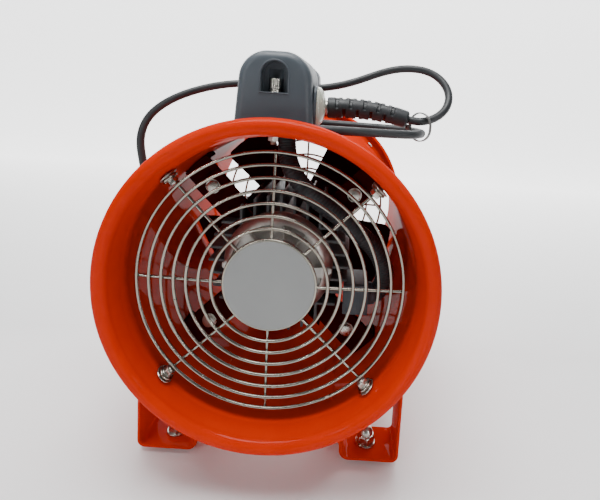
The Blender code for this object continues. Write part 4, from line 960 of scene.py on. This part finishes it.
def make_motor():
    front, back = at_depth(MOTOR_FRONT), at_depth(MOTOR_BACK)
    fins = softened(prism(fin_outline(), front, back), 0.0004, 2, 50)
    piece("motor_body", moved(fins, z=AXIS_Z), "motor_grey", ["motor_frame"])
    start = at_depth(EAR_DEPTH)
    clip = 0.003
    upper = [*arc((EAR_END_R - clip, ARM_HALF - clip), clip, 0, 90, 6), (0.054, ARM_HALF)]
    outline = [(u, -v) for u, v in reversed(upper)] + upper
    web = [(0.060, -ARM_HALF), (0.088, -ARM_HALF), (0.060, 0.0026 - ARM_HALF)]
    for k, corner in enumerate(CORNERS):
        ear = softened(prism(turned_points(outline, diagonal(k)), start, start + 0.005), 0.0009, 3, 50)
        fold = softened(prism(turned_points(web, diagonal(k)), start - 0.012, start + 0.002), 0.0006, 2, 50)
        # The ears get the dark red paint, darkened further as painted shade.
        piece(f"motor_ear_{corner}", moved(merged([ear, fold]), z=AXIS_Z), "dark_red_enamel")

    face = front - 0.0003
    shield = millimetres(
        face, (0, -19.5), (12, -20), (26, -20), (30, -19), (50, -16.6), (54, -15), (58.5, -9.5),
        (60.5, -6), (61.5, -2), (61.5, 0), (0, 0),
    )
    pockets = []
    outline = arc((0.0, 0.0), 0.051, -16.0, 16.0, 9) + arc((0.0, 0.0), 0.033, 13.5, -13.5, 7)
    for angle in circle(8, 0.5):
        pocket = prism(turned_points(outline, angle), face - 0.030, face - 0.0105)
        pockets.append(softened(pocket, 0.0012, 3))
    parts = [carved(lathe(shield, 96), pockets)]
    head = millimetres(face, (0, -12.8), (3.6, -12.8), (4.6, -12.2), (4.8, -8.5), (0, -8.5))
    for k in range(4):
        x, z = polar(0.0565, diagonal(k) + pi / 4)
        parts.append(moved(hexed(0.0085, head, "Y", 48), x, 0.0, z))
    piece("motor_front_cover", moved(merged(parts), z=AXIS_Z), "cast_alloy", ["front_end_shield"])

    face = back + 0.0003
    bore = SHAFT_R + 0.0015
    rear = millimetres(face, (60.5, 0), (60, 2), (58, 5), (45, 8.8), (31, 12.5), (29, 13))
    rear += [(bore + 0.0008, face + 0.0130), (bore, face + 0.0122), (bore, face)]
    parts = [lathe(rear, 96, closed=True)]
    outline = [(0.028, -0.0014), (0.056, -0.0014), (0.056, 0.0014), (0.028, 0.0014)]
    for angle in circle(8):
        rib = prism(turned_points(outline, angle), face + 0.002, face + 0.0092)
        parts.append(softened(rib, 0.0006, 2))
    piece("motor_rear_cover", moved(merged(parts), z=AXIS_Z), "cast_alloy", ["rear_end_shield"])


def make_mounts():
    """The bent plates between the duct and the motor's ears, and their bolts."""
    start = at_depth(EAR_DEPTH) + 0.0053
    outer, inner = BORE_R - 0.0012, BORE_R - 0.0052
    half = ARM_HALF / BORE_R
    turns = [-half + 2 * half * i / 10 for i in range(11)]
    seat = [polar(outer, turn) for turn in turns]
    near, edge = ARM_INNER_R, ARM_HALF
    outline = [
        (near + 0.004, -edge), *seat, (near + 0.004, edge), (near + 0.0012, edge - 0.0012),
        (near, edge - 0.004), (near, 0.004 - edge), (near + 0.0012, 0.0012 - edge),
    ]
    strip = seat + [polar(inner, turn) for turn in reversed(turns)]
    face = at_depth(EAR_DEPTH) - 0.0009
    rest = at_depth(EAR_DEPTH) + 0.0096
    corner_r = 6.5 / cos(pi / 6)
    head = millimetres(face, (0, -4.9), (5.6, -4.9), (6.6, -4.5), (corner_r, -3.8), (corner_r, -1), (0, -1))
    nut = millimetres(rest, (0, 0.4), (6.4, 0.4), (corner_r, 1.2), (corner_r, 5.4), (6.4, 6.2), (0, 6.2))
    shank = [(0.0, face - 0.001), *threads(0.0036, face - 0.001, rest + 0.0086), (0.0, rest + 0.0086)]
    for k, corner in enumerate(CORNERS):
        angle = diagonal(k)
        parts = [
            softened(prism(turned_points(outline, angle), start, start + 0.004), 0.0007, 2, 50),
            softened(prism(turned_points(strip, angle), start + 0.001, start + 0.030), 0.0007, 2, 50),
        ]
        for side in (-1, 1):
            x, z = polar(outer, angle + side * half)
            parts.append(weld_bead((x, start + 0.004, z), (x, start + 0.028, z), 0.0012, 8, k + side))
        plate = moved(merged(parts), z=AXIS_Z)
        # The plates get the dark red paint, darkened further as painted shade.
        piece(f"mount_plate_{corner}", plate, "dark_red_enamel", [f"mount_arm_{corner}"])
        parts = [hexed(0.013, head, "Y", 48, 0.3 * k), hexed(0.013, nut, "Y", 48, 1.1 * k), lathe(shank, 28)]
        parts.append(washer(0.0038, 0.0085, face - 0.0010, 0.0010, 56, "Y"))
        parts.append(washer(0.0038, 0.0085, rest - 0.0004, 0.0008, 56, "Y"))
        x, z = polar(EAR_BOLT_R, angle)
        screw = moved(merged(parts), x, 0.0, AXIS_Z + z)
        piece(f"mount_screw_{corner}", screw, "zinc", [f"mount_bolt_{corner}"])


def blade(turn):
    """A pressed blade with rounded corners, twisted from root to tip and cambered."""
    middle = at_depth((HUB_FRONT + HUB_BACK) / 2)
    thick, root_r = 0.0010, 0.0400
    spans, chords = 26, 18
    rings = []
    for i in range(spans + 1):
        share = i / spans
        radius = root_r + (TIP_R - root_r) * share
        pitch = radians(ROOT_PITCH_DEG - 20 * share)
        near_tip = max(0.0, (share - 0.90) / 0.10)
        chord = (0.056 + 0.044 * share) * (1.0 - 0.16 * near_tip * near_tip)
        upper, lower = [], []
        for j in range(chords + 1):
            across = 2 * j / chords - 1
            s = across * chord / 2
            camber = 0.007 * (1 - across * across)
            half = thick * min(1.0, 0.35 + 6 * (1 - abs(across)))
            along = s * sin(pitch) + camber * cos(pitch)
            x, z = polar(radius, (s * cos(pitch) - camber * sin(pitch)) / radius + turn)
            upper.append(Vector((x, middle + along + half, z)))
            lower.append(Vector((x, middle + along - half, z)))
        rings.append(upper + list(reversed(lower)))
    return skin(rings)


def make_impeller():
    front, back = at_depth(HUB_FRONT), at_depth(HUB_BACK)
    middle = (front + back) / 2
    bore = SHAFT_R + 0.0003
    hub = [
        (bore, front + 0.012), (0.0192, front + 0.012), (0.0200, front + 0.0128), (0.0200, back - 0.0055),
        (0.0215, back - 0.0040), (0.0370, back - 0.0040), (0.0380, back - 0.0052), (0.0380, front + 0.0006),
        (0.0386, front), (0.0414, front), (0.0420, front + 0.0006), (0.0420, back - 0.0030),
        (0.0412, back - 0.0010), (0.0395, back), (bore, back),
    ]
    parts = [lathe(hub, 100, closed=True)]
    pitch = radians(ROOT_PITCH_DEG)
    for angle in circle(BLADES):
        turn = radians(FIRST_BLADE_DEG) + angle
        parts.append(blade(turn))
        root, widths = [], []
        for i in range(25):
            s = (i / 24 - 0.5) * 0.050
            x, z = polar(0.0424, s * cos(pitch) / 0.042 + turn)
            root.append((x, middle + s * sin(pitch) + 0.004, z))
            widths.append(0.0016 + 0.0002 * sin(i * 1.9))
        parts.append(tube(root, widths, 8))
    # The blades are drawn in the darkened dark red: painted shade over their orange-red paint.
    piece("fan_wheel", moved(merged(parts), z=AXIS_Z), "dark_red_enamel", ["impeller"], "rotor")
    seat = back + 0.0003
    nut = millimetres(
        seat, (0, 1.8), (8, 1.8), (9.2, 2.6), (9.2, 8.6), (8, 9.4), (5.2, 9.5), (5.2, 9), (0, 9),
    )
    end = [(0.0, seat + 0.0092), *threads(0.0050, seat + 0.0092, seat + 0.0158), (0.0, seat + 0.0158)]
    parts = [hexed(0.016, nut, "Y", 60), washer(0.0054, 0.0110, seat, 0.0018, 64, "Y"), lathe(end, 32)]
    piece("wheel_nut", moved(merged(parts), z=AXIS_Z), "zinc", ["impeller_nut"], "rotor")


# ---- handle, switch and cord entry ----------------------------------------------------------------
HANDLE_X = -0.006
POST_DEPTHS = (0.028, 0.118)
REAR_POST_DEPTHS = (0.266, 0.316)
HANDLE_TOP = AXIS_Z + 0.234
POST_BASE = AXIS_Z + 0.130
GRIP_BASE = AXIS_Z + 0.208
POST_HALVES = (0.0425, 0.0370)
POST_CORNER = 0.029
REAR_POST_HALVES = (0.0330, 0.0255)
REAR_POST_CORNER = 0.020
SCREW_DEPTH = 0.038
ROCKER_REST_DEG = 8.0
POCKET_HALF = 0.0132
POCKET_FLOOR = AXIS_Z + 0.1925
POCKET_SHOULDER = AXIS_Z + 0.2105


def arch(base_half, top_half, base_z, top_z, corner):
    """An arched outline with slightly tapering sides and large top corners."""
    shoulder = top_z - corner
    sides = 8
    right = []
    for i in range(sides):
        share = i / sides
        right.append((base_half + (top_half - base_half) * share, base_z + (shoulder - base_z) * share))
    right += arc((top_half - corner, shoulder), corner, 0, 90, 26)
    return right + [(-x, z) for x, z in reversed(right)]


def post(start, end, front_round, back_round, halves, corner):
    """A pedestal: arch sections whose front and back edges are rounded."""
    steps = 10
    turns = [pi / 2 * i / steps for i in range(steps + 1)]
    sections = [(start + front_round * (1 - cos(a)), front_round * (1 - sin(a))) for a in turns]
    sections += [(end - back_round * (1 - cos(a)), back_round * (1 - sin(a))) for a in reversed(turns)]
    rings = []
    for y, inset in sections:
        flat = arch(halves[0] - inset, halves[1] - inset, POST_BASE, HANDLE_TOP - inset, corner - inset)
        rings.append([Vector((HANDLE_X + x, y, z)) for x, z in flat])
    return skin(rings)


def grip():
    """The bar between the pedestals: rounded section, slight waist, finger swells below."""
    start = at_depth(POST_DEPTHS[1] - 0.012)
    end = at_depth(REAR_POST_DEPTHS[0] + 0.012)
    steps, swells, corner = 60, 4, 0.0095
    rings = []
    for i in range(steps + 1):
        share = i / steps
        waist = 0.003 * sin(pi * share)
        top = HANDLE_TOP - 0.0005 - waist * 0.3
        swell = 0.0012 * (0.5 - 0.5 * cos(2 * pi * share * swells)) if 0.12 < share < 0.88 else 0.0
        upper = arc((0.0205 - waist - corner, top - corner), corner, 0, 90, 12)
        upper += [(-x, z) for x, z in reversed(upper)]
        lower = [(x, GRIP_BASE + swell * 0.5 + (top - z)) for x, z in reversed(upper)]
        y = start + (end - start) * share
        rings.append([Vector((HANDLE_X + x, y, z)) for x, z in upper + lower])
    return skin(rings)


def pocket_outline(grow=0.0):
    half = POCKET_HALF + grow
    return [(-half, POCKET_FLOOR), (half, POCKET_FLOOR)] + arc((0.0, POCKET_SHOULDER), half, 0, 180, 33)


def pocket_tools(front_y, inwards, screw_y):
    """The arched screw pocket and its round tool channel."""
    ys = sorted((front_y - inwards * 0.01, front_y + inwards * 0.013))
    pocket = moved(prism(pocket_outline(), *ys), HANDLE_X)
    low, high = POCKET_FLOOR + 0.0001, AXIS_Z + 0.2165
    channel = lathe([(0.0, low), (0.0082, low), (0.0082, high), (0.0, high)], 48, "Z")
    return [pocket, moved(channel, HANDLE_X, screw_y)]


def make_handle():
    front_start, front_end = (at_depth(depth) for depth in POST_DEPTHS)
    rear_start, rear_end = (at_depth(depth) for depth in REAR_POST_DEPTHS)
    body = post(front_start, front_end, 0.009, 0.007, POST_HALVES, POST_CORNER)
    rear = post(rear_start, rear_end, 0.007, 0.009, REAR_POST_HALVES, REAR_POST_CORNER)
    body = carved(body, [grip(), rear], "UNION")
    screws = (at_depth(SCREW_DEPTH), at_depth(REAR_POST_DEPTHS[1] - 0.010))
    tools = pocket_tools(front_start, 1, screws[0]) + pocket_tools(rear_end, -1, screws[1])
    seat_low = (SEAT_X, at_depth(SWITCH_DEPTH) - 0.0195, SWITCH_Z - 0.0225)
    seat_high = (0.08, at_depth(GLAND_DEPTH) + 0.0145, SWITCH_Z + 0.0225)
    tools.append(softened(block(seat_low, seat_high), 0.0030, 4))
    wall = BORE_R + SHEET + 0.0003
    duct = lathe([(0.0, -0.3), (wall, -0.3), (wall, 0.3), (0.0, 0.3)], DUCT_SIDES)
    tools.append(moved(duct, z=AXIS_Z))
    piece("handle_moulding", carved(body, tools), "black_plastic", ["handle"], angle=28.0)

    lips = []
    outline = pocket_outline(0.0012)
    for face_y, inwards in ((front_start, 1), (rear_end, -1)):
        path = [(HANDLE_X + x, face_y + inwards * 0.0001, z) for x, z in outline[1:] + outline[:1]]
        lips.append(tube(path, 0.0009, 10, closed=True))
    base_half, top_half = REAR_POST_HALVES
    seam_y = at_depth(REAR_POST_DEPTHS[0] + 0.012)
    for side in (-1, 1):
        seam = []
        for i in range(24):
            height = 0.020 + 0.050 * i / 23
            half = base_half - (base_half - top_half) * height / 0.084
            seam.append((HANDLE_X + side * (half - 0.0001), seam_y, POST_BASE + height))
        lips.append(tube(seam, 0.0006, 8))
    piece("handle_pocket_lips", merged(lips), "black_plastic")
    for end, y in zip(("front", "rear"), screws):
        make_handle_screw(end, y)


def make_handle_screw(end, y):
    """A knurled socket-head screw on washers, with its nut inside the duct."""
    floor = POCKET_FLOOR + 0.0003
    turns = circle(96)
    head = []
    stations = (
        (0.0051, 0.0036, 0), (0.0055, 0.0042, 0.5), (0.0055, 0.0048, 1), (0.0055, 0.0128, 1),
        (0.0052, 0.0138, 0.3), (0.0046, 0.0142, 0),
    )
    for radius, along, knurl in stations:
        radii = [radius - 0.00028 * knurl * (0.5 - 0.5 * cos(24 * a)) for a in turns]
        head.append([Vector((*polar(r, a), along)) for r, a in zip(radii, turns)])
    for along in (0.0142, 0.0092):
        head.append([Vector((*polar(flats(0.005, a), a), along)) for a in turns])
    parts = [skin(head), washer(0.0032, 0.0068, 0.0, 0.0014), washer(0.0032, 0.0057, 0.0016, 0.0018)]
    nut_top = AXIS_Z + BORE_R - 0.0010 - floor
    corner = 5 / cos(pi / 6)
    nut = millimetres(nut_top, (0, -5.2), (4.8, -5.2), (corner, -4.5), (corner, -0.4), (0, -0.4))
    parts.append(hexed(0.010, nut, "Z", 48))
    stem = threads(0.0030, AXIS_Z + 0.1402 - floor, 0.0040)
    parts.append(lathe([(0.0, stem[0][1]), *stem, (0.0, 0.0040)], 24, "Z"))
    screw = moved(merged(parts), HANDLE_X, y, floor)
    piece(f"handle_socket_screw_{end}", screw, "zinc", [f"handle_screw_{end}"])


def oval(half_y, half_z, x):
    """A ring of points on a rounded rectangle that faces +X."""
    return [Vector((x, y, z)) for y, z in superellipse(half_y, half_z, 64, 0.62, 0.5)]


def make_switch():
    """The switch: its frame, the rocker, and the clear dome over both."""
    centre = (0.0, at_depth(SWITCH_DEPTH), SWITCH_Z)
    plate_x = SEAT_X + 0.0003
    face_x = plate_x + 0.0028
    edges = ((0.0002, plate_x), (0.0, plate_x + 0.0003), (0.0, face_x - 0.0010))
    edges += ((0.0002, face_x - 0.0003), (0.0007, face_x))
    plate = skin([oval(0.0185 - inset, 0.0215 - inset, x) for inset, x in edges])
    body = block((0.013, -0.0088, -0.0138), (plate_x + 0.001, 0.0088, 0.0138))
    opening = softened(block((0.0262, -0.0072, -0.0128), (0.06, 0.0072, 0.0128)), 0.0006, 2)
    base = carved(carved(plate, [body], "UNION"), [opening])
    piece("switch_frame", moved(base, *centre), "black_plastic", ["switch_base"])

    pivot = JOINTS["switch_rock"]["pos_m"]
    end = [(-0.0022, 0.0112), (0.0026, 0.0117), (0.0035, 0.0116), (0.0042, 0.0111)]
    face = [(x, -z) for x, z in end]
    face += [(0.0042 - 0.0016 * cos(radians(i)), 0.0112 * i / 90) for i in range(-75, 76, 15)]
    face += [*reversed(end), (-0.0036, 0.0)]
    outline = turned_points(face, radians(ROCKER_REST_DEG))
    rocker = softened(prism(outline, -0.0066, 0.0066), 0.0004, 2, 50)
    piece("rocker_button", moved(rocker, *pivot), "rocker_red", ["switch_rocker"], "rocker")

    half_y, half_z, high, wall = 0.0172, 0.0203, 0.0082, 0.0011
    foot = face_x + 0.0003
    outer = [oval(half_y, half_z, foot)]
    inner = [oval(half_y - wall, half_z - wall, foot)]
    for i in range(1, 12):
        share = i / 12
        x = foot + high * sin(share * pi / 2)
        shrink = cos(share * pi / 2) ** 0.8
        hollow = max(shrink - 0.06, 0.03)
        outer.append(oval(half_y * shrink, half_z * shrink, x))
        inner.append(oval(half_y * hollow, half_z * hollow, x - wall))
    outer.append([Vector((foot + high, 0.0, 0.0))])
    inner.append([Vector((foot + high - wall, 0.0, 0.0))])
    dome = moved(skin([*reversed(inner), *outer]), *centre)
    piece("switch_dome", dome, "clear_cover", ["switch_cover"], angle=60)


def make_gland():
    """The cord's gland: hexagonal flange, round cap, and the neck in the handle's wall."""
    base = SEAT_X + 0.0003
    corner = 11.4 / cos(pi / 6)
    flange = millimetres(base, (0, 0), (11.2, 0), (corner, 0.8), (corner, 3.4), (11.2, 4), (0, 4))
    cap = millimetres(base, (0, 3.8), (8.6, 3.8), (8.6, 7.5), (8, 10))
    cap += [(0.0078, BOOT_START - 0.0007), (0.0, BOOT_START - 0.0007)]
    neck = [(0.0, SEAT_X - 0.012), (0.0066, SEAT_X - 0.012), (0.0068, base + 0.001), (0.0, base + 0.001)]
    parts = [hexed(0.0228, flange, "X", 72, 0.3), lathe(cap, 48, "X"), lathe(neck, 40, "X")]
    gland = moved(merged(parts), 0.0, at_depth(GLAND_DEPTH), GLAND_Z)
    piece("gland_nut", gland, "zinc", ["cable_gland"])


SLOT_COUNT = 9
FIRST_SLOT = 0.0105
SLOT_PITCH = 0.0155
SLOT_HALF = 0.0019
SLOT_DEEP = 0.0034


def slot_depth(along, angle):
    """How deep the boot's surface is cut at a distance along it and an angle round it."""
    deepest = 0.0
    for k in range(SLOT_COUNT):
        place = FIRST_SLOT + SLOT_PITCH / 2 * k
        middle = radians(52) if k % 2 == 0 else radians(-62)
        for turn in (0.0, pi):
            away = abs((angle - middle - turn + pi) % (2 * pi) - pi)
            across = eased(away, radians(50), radians(56), 1.0, 0.0)
            length = eased(abs(along - place), SLOT_HALF - 0.0004, SLOT_HALF + 0.0001, 1.0, 0.0)
            deepest = max(deepest, across * length)
    return deepest * SLOT_DEEP


def make_boot():
    """The moulded strain relief: a tapered sleeve with staggered slots that let it bend."""
    rough, _, direction = boot_tip()
    step, sides = 0.00035, 88
    fine = smooth_route(rough, step)
    last = len(fine) - 1
    turns = circle(sides)
    rings = []

    def add_ring(centre, ahead, radii):
        front = ahead.cross(Vector((0, 0, 1))).normalized()
        up = front.cross(ahead)
        rings.append([centre + r * (front * cos(a) + up * sin(a)) for r, a in zip(radii, turns)])

    for i, point in enumerate(fine):
        ahead = Vector(fine[min(i + 1, last)] - fine[max(i - 1, 0)]).normalized()
        along = step * i
        radius = 0.0117 - 0.0022 * (i / last) ** 2 - 0.0008 * (1 - min(along, 0.0010) / 0.0010) ** 2
        add_ring(Vector(point), ahead, [radius - slot_depth(along, a) for a in turns])
    end, ahead = Vector(fine[-1]), Vector(direction)
    for radius, past in millimetres(0.0, (9.2, 0.6), (8.6, 1.3), (7.7, 2), (7, 2.5), (5, 2.5)):
        add_ring(end + ahead * past, ahead, [radius] * sides)
    piece("relief_boot", skin(rings), "black_rubber", ["strain_relief_boot"], angle=40)


# ---- electrics inside the duct --------------------------------------------------------------------
LEAD_R = 0.0105
LEAD_DEPTH = 0.090
LEAD_ROUTE = [route_point(*place) for place in (
    (0, 90, 146.3), (2, 86, 128), (12, 70, 106.5), (29, 60, 89.5), (45, 59, 77), (65, 60, 63),
    (86, 63, 46), (105, 70, 28), (117, 78, 8), (121.5, 82, -8), (120, 84, -20), (116, 85, -29),
    (114, 85, -32.2), (109.6, 85, -33.6),
)]


def make_lead():
    """The finely corrugated sleeve round the motor's leads, and its grommet in the duct."""
    route = smooth_route(LEAD_ROUTE, 0.0009)
    widths = [LEAD_R - 0.0003 + 0.0003 * sin(i * pi / 2) for i in range(len(route))]
    piece("lead_sleeve", tube(route, widths, 28), "black_rubber", ["motor_lead"])
    bore = LEAD_R * 1000 + 0.7
    grommet = millimetres(
        0.0, (bore, -4.4), (bore + 0.6, -5), (15.2, -5), (16, -4), (15.4, -2.4), (13.6, -2.1), (13.6, 2),
        (bore, 2),
    )
    bush = moved(lathe(grommet, 56, "Z", closed=True), 0.0, at_depth(LEAD_DEPTH), AXIS_Z + BORE_R)
    piece("lead_bush", bush, "black_rubber", ["lead_grommet"])


def make_terminal_box():
    """The box beside the motor: ribbed case, screwed front cover and the sleeve's gland."""
    low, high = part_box("terminal_box")
    parts = [softened(block((low[0], low[1] + 0.0008, low[2]), high), 0.0020, 4)]
    entry = (0.0, *LEAD_ROUTE[-1][1:])
    corner = 12 / cos(pi / 6)
    nut = millimetres(high[0], (0, 0), (11.8, 0), (corner, 0.8), (corner, 4), (11.8, 4.8), (0, 4.8))
    cap = millimetres(high[0], (0, 4.6), (12.2, 4.6), (12.2, 7.6), (11.4, 8.4), (0, 8.4))
    parts.append(moved(hexed(0.0240, nut, "X", 72, 0.2), *entry))
    parts.append(moved(lathe(cap, 56, "X"), *entry))
    piece("terminal_case", merged(parts), "black_plastic", ["terminal_box"])
    low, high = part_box("terminal_box_lid")
    parts = [softened(block(low, high), 0.0007, 3)]
    head = millimetres(0.0, (0, 0.4), (2.2, 0.4), (2, -0.4), (1.2, -0.9), (0, -1))
    for x in (low[0] + 0.004, high[0] - 0.004):
        for z in (low[2] + 0.004, high[2] - 0.004):
            parts.append(moved(lathe(head, 24), x, low[1], z))
    for i in range(3):
        left = low[0] + 0.0075 + 0.0052 * i
        rib = block((left, low[1] - 0.0006, low[2] + 0.007), (left + 0.0024, low[1] + 0.001, high[2] - 0.007))
        parts.append(softened(rib, 0.0003, 1))
    piece("terminal_cover", merged(parts), "black_plastic", ["terminal_box_lid"])


def keep_cad_nodes():
    """The pieces inside the motor keep their CAD shape and get a better material."""
    kept = {"stator": "copper", "run_capacitor": "cast_alloy"}
    kept.update(dict.fromkeys(("front_bearing", "rear_bearing", "motor_shaft", "motor_rotor"), "steel"))
    for node, paint in kept.items():
        frame["nodes"][node].material_slots[0].material = MATERIALS[paint]


# ---- floor and light --------------------------------------------------------------------------------
STAGE_GLOW = 2.2


def make_stage():
    """A pale floor that curves up far behind the object and glows towards the back."""
    floor = Surface("studio_floor", (0.86, 0.86, 0.86), 0.80)
    floor.tint(floor.ranged(floor.noise(3.0, 3.0), 0.0, 0.5), (0.89, 0.89, 0.89))
    fill(floor.shader, Emission_Color=(1.0, 1.0, 1.0, 1.0))
    split = floor.nodes.new("ShaderNodeSeparateXYZ")
    floor.links.new(floor.place, split.inputs["Vector"])
    glow = floor.ranged(split.outputs["Y"], 0.0, STAGE_GLOW, 0.1, 1.6)
    floor.links.new(glow, floor.shader.inputs["Emission Strength"])
    path = [(-3.0, 0.0), (1.6, 0.0)] + arc((1.6, 1.2), 1.2, -90, 0, 24) + [(2.8, 4.5)]
    work = bmesh.new()
    rows = [[work.verts.new((x, y, z)) for x in (-5.0, 5.0)] for y, z in path]
    for first, second in zip(rows, rows[1:]):
        work.faces.new((first[0], first[1], second[1], second[0]))
    mesh = bpy.data.meshes.new("studio_floor")
    work.to_mesh(mesh)
    work.free()
    mesh.materials.append(MATERIALS["studio_floor"])
    mesh.shade_smooth()
    item = placed("studio_floor", mesh)


def soft_light(name, at, target, size, power):
    data = bpy.data.lights.new(name, "AREA")
    data.shape = "RECTANGLE"
    data.size, data.size_y = size
    data.energy = power
    lamp = placed(name, data)
    lamp.location = at
    lamp.rotation_euler = (Vector(target) - Vector(at)).to_track_quat("-Z", "Y").to_euler()


def make_world():
    """A dim room that is brighter overhead than around the object."""
    world = bpy.data.worlds.new("studio")
    world.use_nodes = True
    nodes, links = world.node_tree.nodes, world.node_tree.links
    place = nodes.new("ShaderNodeTexCoord")
    split = nodes.new("ShaderNodeSeparateXYZ")
    spread = fill(nodes.new("ShaderNodeMapRange"), From_Min=0.10, From_Max=0.85, To_Min=0.05, To_Max=0.35)
    links.new(place.outputs["Generated"], split.inputs["Vector"])
    links.new(split.outputs["Z"], spread.inputs["Value"])
    backdrop = fill(nodes["Background"], Color=(0.94, 0.97, 1.0, 1.0))
    links.new(spread.outputs["Result"], backdrop.inputs["Strength"])
    bpy.context.scene.world = world


def make_lights():
    make_world()
    centre = (0.0, 0.0, 0.25)
    soft_light("overhead", (-0.15, -0.35, 1.65), centre, (1.1, 0.7), 34.0)
    soft_light("front_left", (-1.2, -1.6, 0.9), centre, (0.03, 0.75), 9.0)
    soft_light("front_right", (1.4, -1.5, 0.6), centre, (0.03, 0.75), 6.0)
    soft_light("behind", (0.5, 1.2, 1.5), centre, (1.0, 0.8), 12.0)


# ---- the whole scene --------------------------------------------------------------------------------
make_materials()
make_camera()
make_cord([*make_plug(), cord_tie(), coil_wrap()])
make_duct()
make_feet()
make_guard("front_grille", "front_guard", 1, RING_R, DISC_R)
make_guard("rear_grille", "rear_guard", -1, [RING_R[-1] - REAR_RING_STEP * i for i in range(4)], None)
make_badge()
make_guard_bolts()
make_motor()
make_mounts()
make_impeller()
make_handle()
make_switch()
make_gland()
make_boot()
make_lead()
make_terminal_box()
keep_cad_nodes()
make_stage()
make_lights()
